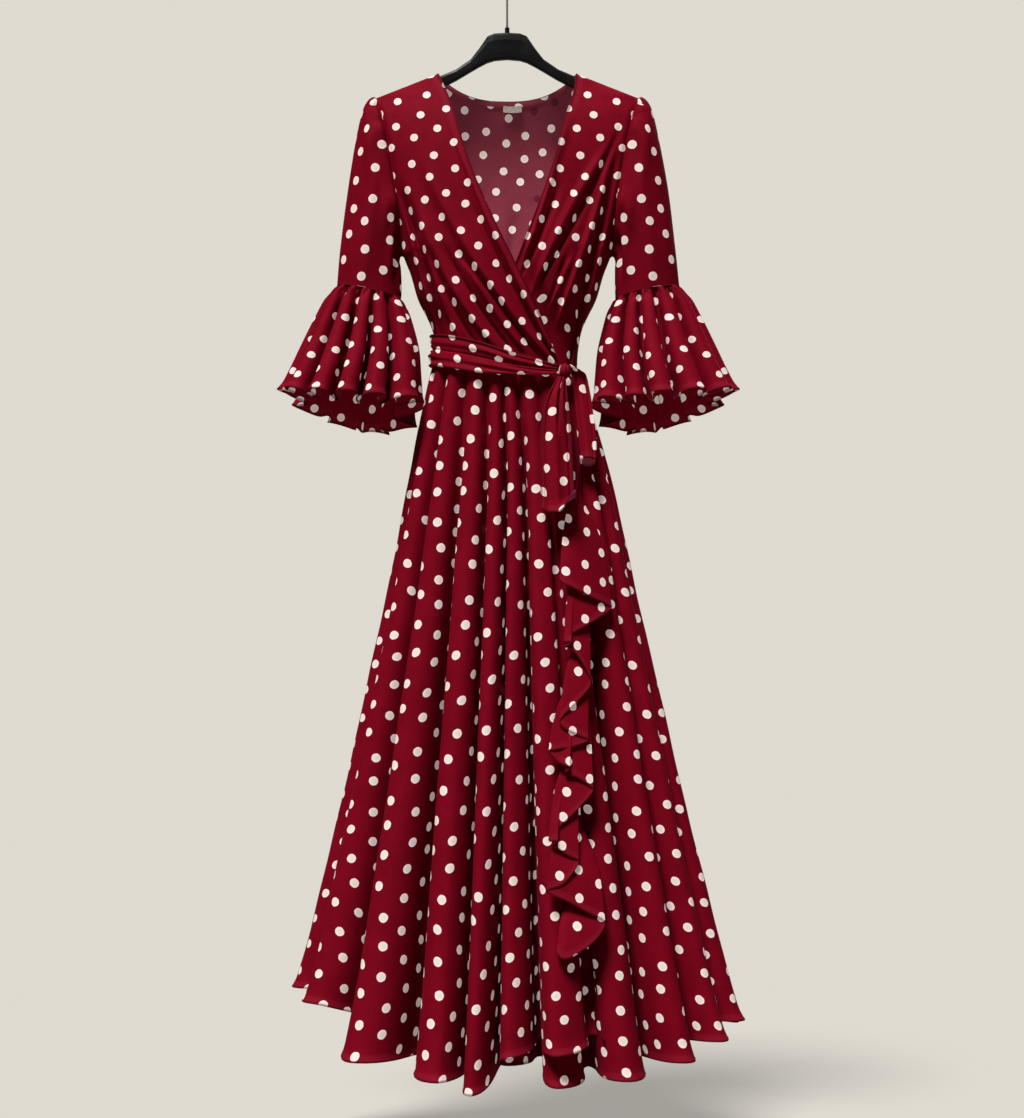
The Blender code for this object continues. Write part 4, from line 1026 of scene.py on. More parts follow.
def flounce(name, side, folds, seed, rows=64, per=26):
    """A bell flounce: rings growing down from the cuff, folded until each is as long as its cloth.  They
    start and end at the sixth fold, next to the body."""
    f = columns(folds)
    n = len(f["deg"])
    t = 6 + np.arange(n * per)[None, :] / per
    v = (to_hem(rows, FLOUNCE_LONG) ** 1.05)[:, None]
    c = sections(FLOUNCE, v)
    span, middle = (c["out_x"] - c["in_x"]) / 2, (c["out_x"] + c["in_x"]) / 2
    angle, fold, roll, wall = fold_wave(t, f["deg"], f["ridge"], f["valley"])
    folded = angle + roll * (0.45 + 0.40 * v) + wall * 0.85 * ease(0, 0.3, v)

    def shape(high, extra=0.0):
        """The rings with folds of the height high, the cloth standing out by extra more."""
        a, b = span - high, c["deep"] - high
        cx, sy = np.cos(folded), np.sin(folded)
        nx, ny = b * cx, a * sy
        size = np.hypot(nx, ny)
        stand = high * fold + extra
        return a * cx + nx / size * stand, b * sy + ny / size * stand

    wanted = FLOUNCE_ROUND[0] + (FLOUNCE_ROUND[1] - FLOUNCE_ROUND[0]) * v
    high = solve_height(shape, wanted, FLOUNCE_MOST)
    high[0] = 0.0
    gather = 0.0027 * np.sin(2 * np.pi * t * 3 + 1.5 * np.sin(2.1 * t)) * (1 - ease(0.03, 0.24, v))
    kick = 0.0028 * ease(0.90, 1.0, v) ** 2
    uneven = ripple(t * 0.05 + 0 * v, v * FLOUNCE_LONG + 0 * t, 0.0016, seed)
    px, py = shape(high, (gather + uneven) * ease(0, 0.06, v) + kick)
    lean = (c["out_z"] - c["in_z"]) / 2 / span
    z = (c["out_z"] + c["in_z"]) / 2 + lean * px
    z = z - c["front_drop"] * np.clip(np.sin(angle), 0, 1)
    z = z - c["back_drop"] * np.clip(-np.sin(angle), 0, 1) ** 0.8 * (1 - 0.4 * np.cos(angle))
    behind = ease(0.0, 0.6, -np.sin(angle))
    z = z - 0.0050 * (1 - fold) * ease(0.1, 1.0, v) * (1 - 0.75 * behind)
    z = z + 0.0022 * np.sin(2 * np.pi * 2 * t + 0.8) * ease(0.80, 1.0, v) * behind
    points = stack(side * (middle + px) + SWING_RIGHT * max(side, 0), -py, z)
    whole = round_off(points)
    run = level_run(whole)
    down = run_down(whole).mean(axis=1, keepdims=True)
    share = run / run[:, -1:]
    flat, along = sector(share, down, *FLOUNCE_ROUND, down[-1, 0])
    edge = pair(along, down[-1:] - down + 0 * along)
    cuff, hem = run[0, -1], run[-1, -1]
    print(f"{name}: cloth {down[-1, 0]:.3f} m long, {cuff:.3f} m at the cuff, {hem:.3f} m at the hem")
    grids = (points, flat, edge) if side < 0 else turned(points, flat, edge, closed=True)
    return cloth(name, *grids, BELL_CREPE, closed=True)


flounce("sleeve_flounce_left_cloth", -1, FLOUNCE_FOLDS_LEFT, 21)
flounce("sleeve_flounce_right_cloth", 1, FLOUNCE_FOLDS_RIGHT, 22)

# %% [markdown]
# ## The skirt
#
# Twenty folds run from the waist seam to the hem on three panels: the top front, whose free edge is the
# wrap edge, the front underneath and the back.  All three share one surface, and each takes its own
# stretch of it, counted in folds, so they meet at the side seams.

# %% Folds and sections of the skirt
# Folds from the left side round by the front: place at hem and waist, shares, hem height.
SKIRT_FOLDS = (
    ("hem_deg", "waist_deg", "ridge", "valley", "hem_z"),
    (-92.0, -90.0, 0.95, 1.00, -1.4400),
    (-67.0, -67.0, 1.00, 1.00, -1.4500),
    (-46.0, -46.5, 1.05, 1.20, -1.5210),
    (-20.5, -25.5, 0.95, 1.20, -1.5420),
    (-11.0, -9.0, 1.00, 1.20, -1.5570),
    (-1.3, 1.0, 0.90, 1.30, -1.5200),
    (12.2, 14.0, 1.00, 0.90, -1.5500),
    (31.5, 33.0, 0.95, 1.40, -1.5440),
    (49.5, 56.0, 0.95, 0.70, -1.5230),
    (64.0, 73.0, 1.05, 0.25, -1.5000),
    (81.0, 91.0, 1.00, 1.00, -1.4800),
    (102.0, 111.0, 1.00, 1.00, -1.4950),
    (122.0, 130.0, 1.00, 1.00, -1.5200),
    (141.0, 147.0, 0.95, 1.00, -1.5400),
    (159.0, 162.0, 1.05, 1.00, -1.5480),
    (176.0, 178.0, 1.00, 1.00, -1.5520),
    (193.0, 194.0, 0.95, 1.00, -1.5480),
    (210.0, 211.0, 1.05, 1.00, -1.5350),
    (228.0, 229.0, 1.00, 1.00, -1.5050),
    (248.0, 249.0, 0.95, 1.00, -1.4650),
)
# Half width over the folds and the middle of the skirt, by share of the way down from the waist.
SKIRT_SIDE = (
    ("v", "half", "middle"),
    (0.000, 0.1018, 0.0000),
    (0.060, 0.1190, 0.0030),
    (0.115, 0.1320, 0.0060),
    (0.211, 0.1510, 0.0085),
    (0.371, 0.1805, 0.0100),
    (0.583, 0.2235, 0.0115),
    (0.796, 0.2695, 0.0135),
    (0.934, 0.3020, 0.0150),
    (1.000, 0.3200, 0.0160),
)
SEAM_LEFT = 0.27          # side seams, counted in folds from the first row of the table
SEAM_RIGHT = 9.73
UNDER_END = 4.75          # where the hidden edge of the wrapped panel underneath hangs
UNDER_IN = 0.0130         # how far that panel hangs inside the top one
UNDER_IN_TOP = 0.0052     # and how far at the waist seam

# %% [markdown]
# ## The skirt's surface
#
# At each level down, a ring of the skirt is the oval of that level with the folds standing on it.  The
# table gives each fold one place at the waist and one at the hem, and the fold runs straight between
# them.  Its ridges roll over sideways, more so below the waist, where more cloth has to find room, and
# the height of the folds is solved level by level.

# %% The skirt's surface
FOLD = columns(SKIRT_FOLDS)
SIDE = columns(SKIRT_SIDE)
LEVELS = np.linspace(0, 1, 41)[:, None]
ROLL = (0.50, 0.80, 0.80)  # how much the folds roll over at the waist, a third down and at the hem
WALL = 0.90               # how steep the walls between ridge and valley are
HEM_CUP = 0.010           # how much higher the hem is in a valley than on its ridges
LEAN = 0.12               # how far each ridge leans to the left over the valley beside it
SKIRT_OUT = 0.001         # how far the skirt stands out from the bodice at the waist seam
SKIRT_MOST = 0.080        # no fold of the skirt stands higher than this
PER_FOLD = 24             # points to a fold when a ring is measured


def skirt_ring(t, v, high, valley=None):
    """A ring of the skirt before its height is set: the oval of that level with the folds on it."""
    deep = FOLD["valley"] if valley is None else valley
    a0, e, r0, w0 = fold_wave(t, FOLD["waist_deg"], FOLD["ridge"], deep)
    a1, _, r1, w1 = fold_wave(t, FOLD["hem_deg"], FOLD["ridge"], deep)
    roll = smooth(v, (0.0, 0.33, 1.0), ROLL)
    pitch = 2 * np.pi / len(FOLD["hem_deg"])
    place = a0 * (1 - v) + a1 * v
    lean = LEAN * (0.7 - ease(0.1, 1.0, place) + ease(2.4, 3.4, place)) * ease(0, 0.3, v)
    wall = WALL * ease(0, 0.3, v)
    angle = place + roll * (r0 * (1 - v) + r1 * v) + wall * (w0 * (1 - v) + w1 * v) - lean * pitch * e
    a = smooth(v, SIDE["v"], SIDE["half"]) - high
    b = WAIST_B + SKIRT_OUT + (HEM_B - WAIST_B) * v - high
    x, y, nx, ny = oval(angle, a, b)
    return x + nx * high * e, y + ny * high * e, nx, ny


CLOTH_ROUND = WAIST_ROUND + (HEM_ROUND - WAIST_ROUND) * LEVELS**0.95
FINE = np.arange(0, len(FOLD["hem_deg"]), 1 / PER_FOLD)[None, :]
HIGH = solve_height(lambda h: skirt_ring(FINE, LEVELS, h)[:2], CLOTH_ROUND, SKIRT_MOST)
AT_WAIST, AT_HEM = HIGH[0, 0] * 1000, HIGH[-1, 0] * 1000
print(f"skirt folds stand {AT_WAIST:.1f} mm at the waist and {AT_HEM:.1f} mm at the hem")


def skirt(t, v, inset=0.0, valley=None, relief=0.0):
    """A point of the skirt at fold count t and share v down: the folded ring, moved in by inset and out
    by relief, between the waist seam and the hem of that fold."""
    high = smooth(v, LEVELS[:, 0], HIGH[:, 0])
    x, y, nx, ny = skirt_ring(t, v, high, valley)
    x = x + nx * (relief - inset) + smooth(v, SIDE["v"], SIDE["middle"])
    y = y + ny * (relief - inset)
    between = (FOLD["hem_z"] + np.roll(FOLD["hem_z"], -1)) / 2 + HEM_CUP
    hem = fold_wave(t, FOLD["hem_deg"], FOLD["hem_z"], -between)[1]
    top = waist_z(x * (1 - v))
    return x, y, top + (hem - top) * v

# %% [markdown]
# ## Small dents in the skirt
#
# Folds as regular as the solved ones would look like a lampshade.  Real ones are dented here and there,
# mostly towards the hem, and the hem kicks out a little.  They could be painted on by hand in Sculpt
# mode.  A table of dents does the same and can be measured.

# %% Small relief of the skirt cloth
# Shallow dents in the folds, rising from the hem: fold count, top and bottom of the dent, width, depth.
DENTS = (
    ("t", "v0", "v1", "half", "deep"),
    (1.08, 0.55, 1.20, 0.10, 0.0040),
    (2.20, 0.35, 1.20, 0.09, 0.0045),
    (2.88, 0.60, 1.25, 0.08, 0.0040),
    (3.12, 0.30, 1.20, 0.10, 0.0040),
    (4.15, 0.45, 1.20, 0.09, 0.0040),
    (4.90, 0.62, 1.20, 0.08, 0.0036),
    (5.10, 0.25, 1.20, 0.09, 0.0040),
    (6.12, 0.40, 1.20, 0.10, 0.0050),
    (7.10, 0.50, 1.20, 0.09, 0.0040),
    (8.15, 0.40, 1.20, 0.10, 0.0045),
    (8.85, 0.60, 1.20, 0.09, 0.0040),
    (9.10, 0.30, 1.20, 0.10, 0.0045),
    (10.10, 0.40, 1.20, 0.10, 0.0045),
    (11.15, 0.35, 1.20, 0.09, 0.0045),
    (12.90, 0.50, 1.20, 0.10, 0.0045),
    (14.12, 0.30, 1.20, 0.09, 0.0045),
    (15.10, 0.45, 1.20, 0.10, 0.0040),
    (16.88, 0.35, 1.20, 0.09, 0.0045),
    (18.10, 0.40, 1.20, 0.10, 0.0045),
    (19.12, 0.55, 1.20, 0.09, 0.0040),
)
FOLD_WIDE = 0.14          # length of cloth in a fold, for the unevenness


def skirt_relief(t, v, seed):
    """Dents, unevenness and the kick of the hem, as a height along the skirt's outward direction."""
    d = columns(DENTS)
    n = len(FOLD["hem_deg"])
    apart = (t[..., None] - d["t"] + n / 2) % n - n / 2
    along = (v[..., None] - d["v0"]) / (d["v1"] - d["v0"])
    dent = np.exp(-((apart / d["half"]) ** 2)) * ease(0, 0.5, along)
    kick = 0.0030 * ease(0.975, 1.0, v) ** 2
    uneven = ripple(t * FOLD_WIDE, v * SKIRT_LONG, 0.0018, seed) * ease(0, 0.1, v)
    return uneven - (d["deep"] * dent).sum(-1) + kick


# %% [markdown]
# ## The flat pattern of a skirt panel
#
# On the table a flared panel is a part of a ring, with the straight grain down its middle.  Its radius
# at each level follows from how fast the panel widens on the way down.  A plain square mapping would
# pull the dots wide at the hem.

# %% Flat pattern of a skirt panel
SMALLEST = 0.02           # no arc of the pattern has a smaller radius


def skirt_flat(points, mid_share):
    """Flat coordinates and hem distances of a skirt panel, with the grain down its middle."""
    run = level_run(points)
    down = run_down(points).mean(axis=1, keepdims=True)
    width = run[:, -1:]
    first, last = float(width[0, 0]), float(width[-1, 0])
    turn = (last - first) / down[-1, 0]
    radius = np.maximum(first / turn + down, SMALLEST)
    angle = (run - width * mid_share) / radius
    flat = pair(radius * np.sin(angle), -radius * np.cos(angle))
    return flat, pair(radius * angle, down[-1:] - down + 0 * run)


# %% [markdown]
# ## The panels of the skirt
#
# The top front ends at the wrap edge, which runs slantwise across the folds, so its last columns are
# drawn between a fixed fold and that edge.  There the folds are shallow and the hem lifts, because the
# ruffle is sewn on.  The front underneath hangs inside it as far as it is covered.

# %% Skirt panels
# The wrap edge down the skirt, counted in folds.
WRAP = (
    ("v", "at"),
    (0.00, 8.50),
    (0.12, 7.88),
    (0.25, 7.35),
    (0.37, 7.11),
    (0.45, 7.03),
    (0.60, 6.81),
    (0.75, 6.68),
    (0.85, 6.66),
    (1.00, 6.74),
)
WRAP_LIFT = 0.0500                    # height of the lift at the wrap edge
LIFT_FROM, LIFT_TO = 4.4, 6.4         # folds between which the hem of the top panel lifts
COLUMNS_TO = 5.5                      # the fold up to which its columns stay put
VALLEYS_OVER = FOLD["valley"].copy()  # its last valleys are shallow beside the wrap edge
VALLEYS_OVER[5:10] = (1.20, 0.20, -0.10, -0.10, 0.20)


def wrap_at(v):
    """Fold count of the wrap edge at the share v down."""
    w = columns(WRAP)
    return smooth(v, w["v"], w["at"])


def over(t, v, relief=0.0):
    """A point of the top panel: its hem lifts towards the wrap edge."""
    x, y, z = skirt(t, v, valley=VALLEYS_OVER, relief=relief)
    return stack(x, y, z + WRAP_LIFT * ease(LIFT_FROM, LIFT_TO, t) * v**2)


def skirt_front_over(rows=130, per=28):
    """The top front, from the left side seam to the wrap edge."""
    v = to_hem(rows, SKIRT_LONG)[:, None]
    fixed = np.linspace(SEAM_LEFT, COLUMNS_TO, int((COLUMNS_TO - SEAM_LEFT) * per))[None, :-1]
    moving = to_hem(36, 0.25)[None, :]
    t = np.concatenate([fixed + 0 * v, COLUMNS_TO + (wrap_at(v) - COLUMNS_TO) * moving], axis=1)
    points = over(t, v, skirt_relief(t, v + 0 * t, 31))
    flat, edge = skirt_flat(points, 0.5)
    run = level_run(points)
    edge[..., 1] = np.minimum(edge[..., 1], run[:, -1:] - run)
    return cloth("skirt_front_over_cloth", points, flat, edge, CREPE)


def skirt_front_under(rows=120, per=28):
    """The front underneath, hanging inside the top one as far as the wrap edge covers it."""
    v = to_hem(rows, SKIRT_LONG)[:, None]
    t = np.linspace(UNDER_END, SEAM_RIGHT, int((SEAM_RIGHT - UNDER_END) * per))[None, :]
    deep = UNDER_IN_TOP + (UNDER_IN - UNDER_IN_TOP) * ease(0.0, 0.25, v)
    inset = deep * (1 - ease(0.10, 0.60, t - wrap_at(v)))
    points = stack(*skirt(t, v, inset, relief=skirt_relief(t + 0 * v, v + 0 * t, 32)))
    flat, edge = skirt_flat(points, 0.6)
    return cloth("skirt_front_under_cloth", points, flat, edge, CREPE)


def skirt_back(rows=110, per=24):
    """The back of the skirt, from side seam to side seam."""
    v = to_hem(rows, SKIRT_LONG)[:, None]
    end = len(FOLD["hem_deg"]) + SEAM_LEFT
    t = np.linspace(SEAM_RIGHT, end, int((end - SEAM_RIGHT) * per))[None, :]
    points = stack(*skirt(t, v, relief=skirt_relief(t + 0 * v, v + 0 * t, 33)))
    flat, edge = skirt_flat(points, 0.5)
    return cloth("skirt_back_cloth", points, flat, edge, CREPE)


skirt_front_over()
skirt_front_under()
skirt_back()

# %% [markdown]
# ## The ruffle down the wrap edge
#
# The ruffle is a strip cut as a spiral.  Sewn on straight, its free edge is far longer than the seam, so
# it falls from side to side in a cascade, as the table says.  Each line across the strip starts at the
# seam, goes out to that side and hangs down, which is a curve with one control point.  The strip is
# faced, so that both of its sides show the dyed colour.

# %% Free edge of the ruffle
# The cascade: the share down of the seam it hangs from, and its free edge, whose last column is how
# far it stands off the folds.  It swings to the left and back to the right as it goes down.
CASCADE = (
    ("at", "x", "z", "off"),
    (0.135, 0.0985, -0.7480, 0.002),
    (0.145, 0.0931, -0.8127, 0.006),
    (0.160, 0.0816, -0.8441, 0.011),
    (0.175, 0.0731, -0.8695, 0.013),
    (0.182, 0.0882, -0.8792, 0.018),
    (0.192, 0.1161, -0.8932, 0.019),
    (0.204, 0.1388, -0.9030, 0.0160),
    (0.215, 0.1448, -0.9082, 0.0159),
    (0.228, 0.1304, -0.9196, 0.0158),
    (0.246, 0.1049, -0.9353, 0.0157),
    (0.264, 0.0840, -0.9466, 0.0156),
    (0.276, 0.0783, -0.9550, 0.0155),
    (0.280, 0.0880, -0.9562, 0.0205),
    (0.284, 0.0795, -0.9628, 0.0150),
    (0.288, 0.0837, -0.9633, 0.0155),
    (0.302, 0.0961, -0.9742, 0.0154),
    (0.318, 0.1099, -0.9974, 0.0153),
    (0.333, 0.1141, -1.0152, 0.0152),
    (0.356, 0.0959, -1.0371, 0.0151),
    (0.378, 0.0765, -1.0560, 0.0149),
    (0.391, 0.0723, -1.0668, 0.0149),
    (0.400, 0.0831, -1.0763, 0.0148),
    (0.412, 0.1009, -1.0845, 0.0147),
    (0.421, 0.1106, -1.0901, 0.0147),
    (0.432, 0.0900, -1.0981, 0.0146),
    (0.444, 0.0640, -1.1020, 0.0145),
    (0.453, 0.0571, -1.1058, 0.0145),
    (0.461, 0.0705, -1.1192, 0.0144),
    (0.466, 0.0850, -1.1262, 0.0200),
    (0.471, 0.0795, -1.1345, 0.0140),
    (0.476, 0.0949, -1.1395, 0.0143),
    (0.491, 0.1127, -1.1519, 0.0143),
    (0.502, 0.1156, -1.1602, 0.0142),
    (0.525, 0.0923, -1.1855, 0.0140),
    (0.550, 0.0636, -1.2117, 0.0139),
    (0.565, 0.0567, -1.2233, 0.0138),
    (0.569, 0.0680, -1.2235, 0.0190),
    (0.572, 0.0612, -1.2300, 0.0140),
    (0.575, 0.0674, -1.2336, 0.0138),
    (0.587, 0.0849, -1.2445, 0.0137),
    (0.598, 0.0958, -1.2503, 0.0136),
    (0.608, 0.0932, -1.2598, 0.0136),
    (0.623, 0.0755, -1.2808, 0.0135),
    (0.635, 0.0552, -1.2882, 0.0134),
    (0.642, 0.0592, -1.2943, 0.0133),
    (0.656, 0.0805, -1.3034, 0.0133),
    (0.675, 0.1100, -1.3198, 0.0132),
    (0.693, 0.1291, -1.3299, 0.0130),
    (0.705, 0.1305, -1.3397, 0.0130),
    (0.720, 0.1170, -1.3567, 0.0129),
    (0.736, 0.0912, -1.3742, 0.0128),
    (0.748, 0.0750, -1.3787, 0.0127),
    (0.760, 0.0671, -1.3685, 0.0070),
    (0.771, 0.0739, -1.3520, 0.0020),
)

# %% [markdown]
# ## Lines across the ruffle
#
# The free edge stands off the front of the skirt, which is an oval at each height.  Each line across
# the strip leaves the seam towards the side it swings to and then hangs down to the free edge.  A
# straight line would cut through the folds, and a curve with one control point, the knee, goes over.

# %% The ruffle
RUFFLE_WIDE = 0.090       # width of the strip, for the spacing of its columns
OVER_SIDE = 0.007         # how far out from the folds their front is taken to be, at the side
OVER_FRONT = 0.009        # and in front
KNEE_OUT = 0.84           # place of the knee between the seam and the free edge: share sideways
KNEE_DOWN = 0.12          # and share down


def stand_off(x, z):
    """Depth of the front of the skirt's folds, and of the sash over them: -b sqrt(1 - (x / a)^2)."""
    v = np.clip((waist_z(x) - z) / SKIRT_LONG, 0, 1)
    a = smooth(v, SIDE["v"], SIDE["half"]) + OVER_SIDE
    b = WAIST_B + OVER_FRONT + (HEM_B - WAIST_B) * v
    return -b * np.sqrt(np.clip(1 - (x / a) ** 2, 0, 1))


CUTS = {}                 # strips whose cut is read from their edges: length and width


def wrap_ruffle(per=10, cols=42):
    """The cascade.  From the seam s, by the knee k, to the free edge e, each line across the strip is
    (1 - f)^2 s + 2 f (1 - f) k + f^2 e at the share f of the strip's width."""
    c = columns(CASCADE)
    n = len(c["at"])
    row = np.linspace(0, n - 1, per * (n - 1) + 1)
    v, x, z, off = (smooth(row, np.arange(n), c[name]) for name in ("at", "x", "z", "off"))
    root = over(wrap_at(v), v)
    root[:, 1] -= 0.0012
    free = stack(x, stand_off(x, z) - off, z)
    knee_x = root[:, 0] + KNEE_OUT * (x - root[:, 0])
    knee_z = root[:, 2] + KNEE_DOWN * (z - root[:, 2])
    knee = stack(knee_x, stand_off(knee_x, knee_z) - 0.25 * off - 0.001, knee_z)
    f = to_hem(cols, RUFFLE_WIDE)[None, :, None]
    points = (1 - f) ** 2 * root[:, None] + 2 * f * (1 - f) * knee[:, None] + f**2 * free[:, None]
    run = run_down(points)
    step = np.linalg.norm(np.diff(points, axis=1), axis=-1)
    across = np.concatenate([np.zeros((len(row), 1)), np.cumsum(step, axis=1)], axis=1)
    first, last = run[-1, 0], run[-1, -1]
    along = run * (first + (last - first) * f[..., 0]) / np.maximum(run[-1:], 1e-6)
    print(f"wrap_ruffle: {first:.2f} m along the seam and {last:.2f} m along its free edge")
    CUTS["wrap_ruffle_cloth"] = ((first + last) / 2, across[:, -1].mean())
    flat = pair(points[..., 0] + 0.5 * points[..., 1], points[..., 2])
    edge = pair(along, across[:, -1:] - across)
    return cloth("wrap_ruffle_cloth", points, flat, edge, [RIGHT_SIDE, RIGHT_SIDE])


wrap_ruffle()

# %% [markdown]
# ## The sash, its knot and its ends
#
# The sash is a straight strip tied at the side.  Round the waist it is crushed into a few lengthwise
# pleats that draw together at the knot.  A simulated knot would be hard to steer, so the sash is four
# pieces that meet: the band, the knot, a hanging end and a loop.  In the band each pleat is a line in
# the strip's own coordinates.

# %% Sash round the waist
# Place round the waist from the knot, past the left side and back, with its top and bottom edge.
SASH = (
    ("deg", "top", "bottom", "out"),
    (42.3, -0.5635, -0.5755, 0.0095),
    (34.0, -0.5600, -0.5775, 0.0080),
    (22.0, -0.5540, -0.5790, 0.0070),
    (6.0, -0.5480, -0.5790, 0.0070),
    (-18.0, -0.5332, -0.5765, 0.0070),
    (-43.0, -0.5213, -0.5680, 0.0070),
    (-90.0, -0.5120, -0.5565, 0.0063),
    (-130.0, -0.5180, -0.5600, 0.0070),
    (-180.0, -0.5310, -0.5710, 0.0070),
    (-225.0, -0.5450, -0.5780, 0.0065),
    (-252.0, -0.5560, -0.5810, 0.0048),
    (-270.0, -0.5640, -0.5830, 0.0030),
    (-290.0, -0.5660, -0.5820, 0.0040),
    (-308.0, -0.5680, -0.5790, 0.0060),
)
SASH_FLARE = 0.0045       # how far the sash stands out at its lower edge, over the skirt
SASH_LIP = 0.0022         # and at its upper edge, over the bodice

# Lengthwise pleats: place across the strip far from the knot and beside it, half width, both heights.
PLEATS = (
    ("far", "near", "half", "high_far", "high_near"),
    (0.06, 0.08, 0.050, 0.0016, 0.0018),
    (0.28, 0.24, 0.130, 0.0034, 0.0012),
    (0.30, 0.36, 0.040, 0.0000, 0.0030),
    (0.52, 0.50, 0.032, -0.0036, -0.0022),
    (0.56, 0.60, 0.045, 0.0000, 0.0030),
    (0.73, 0.74, 0.120, 0.0040, 0.0018),
    (0.82, 0.84, 0.040, 0.0000, 0.0024),
    (0.95, 0.94, 0.045, 0.0014, 0.0012),
)


def sash_band(rows=46, cols=300):
    """The sash round the waist: pleats drawn in at the knot, and a slight flare over the skirt."""
    s = columns(SASH)
    p = columns(PLEATS)
    deg = np.linspace(SASH[1][0], SASH[-1][0], cols)[None, :]
    share = to_hem(rows, 0.045, ends=(0, 1))[:, None]
    top, bottom = smooth(-deg, -s["deg"], s["top"]), smooth(-deg, -s["deg"], s["bottom"])
    off = smooth(-deg, -s["deg"], s["out"])
    x, y, nx, ny = oval(np.radians(deg), WAIST_A, WAIST_B + 0.004)
    off = off + SASH_FLARE * share**2 + SASH_LIP * (1 - share) ** 2 * (1 - ease(10, 36, deg))
    far = ease(0, 70, SASH[1][0] - deg)
    sway = 0.035 * np.sin(np.radians(deg) * 2.2 + 0.6) + 0.02 * np.sin(np.radians(deg) * 5.1)
    line = p["near"] + (p["far"] - p["near"]) * far[..., None] + sway[..., None]
    across = share[..., None] - line
    skew = np.where(across > 0, 0.55, 1.30)
    fade = 0.7 + 0.3 * np.sin(np.radians(deg)[..., None] * (1.9 + 0.3 * np.arange(len(p["far"]))) + 1.0)
    high = p["high_near"] + (p["high_far"] - p["high_near"]) * far[..., None]
    pleat = (high * fade * np.exp(-((across / (p["half"] * skew)) ** 2))).sum(-1) - 0.0014
    crush = 0.0012 * bump(-88, 9, deg) * np.sin(2 * np.pi * share * 6.5)
    off = off + pleat * (0.35 + 0.65 * ease(-262, -225, deg)) + crush
    points = stack(x + nx * off, y + ny * off, top + (bottom - top) * share)
    run = level_run(points)
    down = run_down(points)
    flat = pair(run, -down - 0.004)
    edge = pair(run, np.minimum(down, down[-1:] - down))
    return cloth("sash_band_cloth", *turned(points, flat, edge), FINE_CREPE)


sash_band()

# %% [markdown]
# ## The knot
#
# The knot is a short stretch of the strip wrapped once round the crossing, so it is a short tube.  Its
# pleats run round it, it is fullest in the middle, and its ends tuck in where the strips come out.

# %% The knot
# Middle and size of the knot.
KNOT = {"x": 0.0815, "z": -0.5720, "wide": 0.0150, "deep": 0.0100, "high": 0.0105}


def sash_knot(rows=40, cols=72):
    """The knot: a tube of cloth round the crossing, its pleats running round it, its ends tucked in."""
    share = np.linspace(-1, 1, rows)[:, None]
    phi = np.linspace(0, 2 * np.pi, cols, endpoint=False)[None, :]
    tuck = 1 - 0.45 * np.abs(share) ** 5
    pleat = 1 + 0.10 * np.sin(2 * np.pi * (1.3 * share + 0.10 * np.sin(phi)) + 0.6)
    swell = (1 - 0.30 * share**2) * tuck * pleat
    y0 = stand_off(KNOT["x"], KNOT["z"]) - KNOT["deep"] - 0.0010
    x = KNOT["x"] + share * KNOT["wide"] / 2 + 0.0010 * np.cos(phi)
    y = y0 + swell * KNOT["deep"] * np.cos(phi)
    z = KNOT["z"] + swell * KNOT["high"] * np.sin(phi)
    points = stack(x, y, z)
    whole = round_off(points)
    around = np.linalg.norm(np.diff(whole, axis=1), axis=-1)
    run = np.concatenate([np.zeros((rows, 1)), np.cumsum(around, axis=1)], axis=1)
    flat = pair(run + 0.017, whole[..., 0] - KNOT["x"])
    edge = pair(run, 0.01 + 0 * run)
    grids = turned(points, flat, edge, closed=True)
    return cloth("sash_knot_cloth", *grids, CREPE, closed=True, hems=False)


sash_knot()

# %% [markdown]
# ## The hanging end
#
# One end of the strip hangs from the knot, broad and folded lengthwise, and its hem rolls forward.  The
# folds could be made by bending the strip with a modifier.  Here they are humps across it, and the roll
# is an arc of the same length as the cloth, so that nothing stretches.

# %% The hanging end of the sash
# Left and right edge of the hanging end, going down, and how far it stands off the skirt.
TAIL_LONG = (
    ("z", "left", "right", "off"),
    (-0.5815, 0.0705, 0.0825, 0.0125),
    (-0.6110, 0.0559, 0.0850, 0.0145),
    (-0.6600, 0.0465, 0.0895, 0.0150),
    (-0.7150, 0.0460, 0.0920, 0.0150),
    (-0.7760, 0.0470, 0.0950, 0.0160),
)
# Folds down the hanging end: place across, half width, height, share down where it has faded.
TAIL_FOLDS = (
    (0.17, 0.040, -0.0040, 3.0),
    (0.48, 0.300, 0.0080, 3.0),
    (0.58, 0.045, -0.0100, 0.50),
    (0.76, 0.090, 0.0050, 0.60),
    (0.89, 0.035, -0.0045, 3.0),
)
TAIL_ENDS = ((0.0, 0.2, 0.5, 0.8, 1.0), (0.005, 0.0, 0.0, 0.0, 0.004))  # shares across, hem heights
TAIL_CURL = (0.88, 0.3, 3.8)          # the share down where the roll starts, and its least and most turn


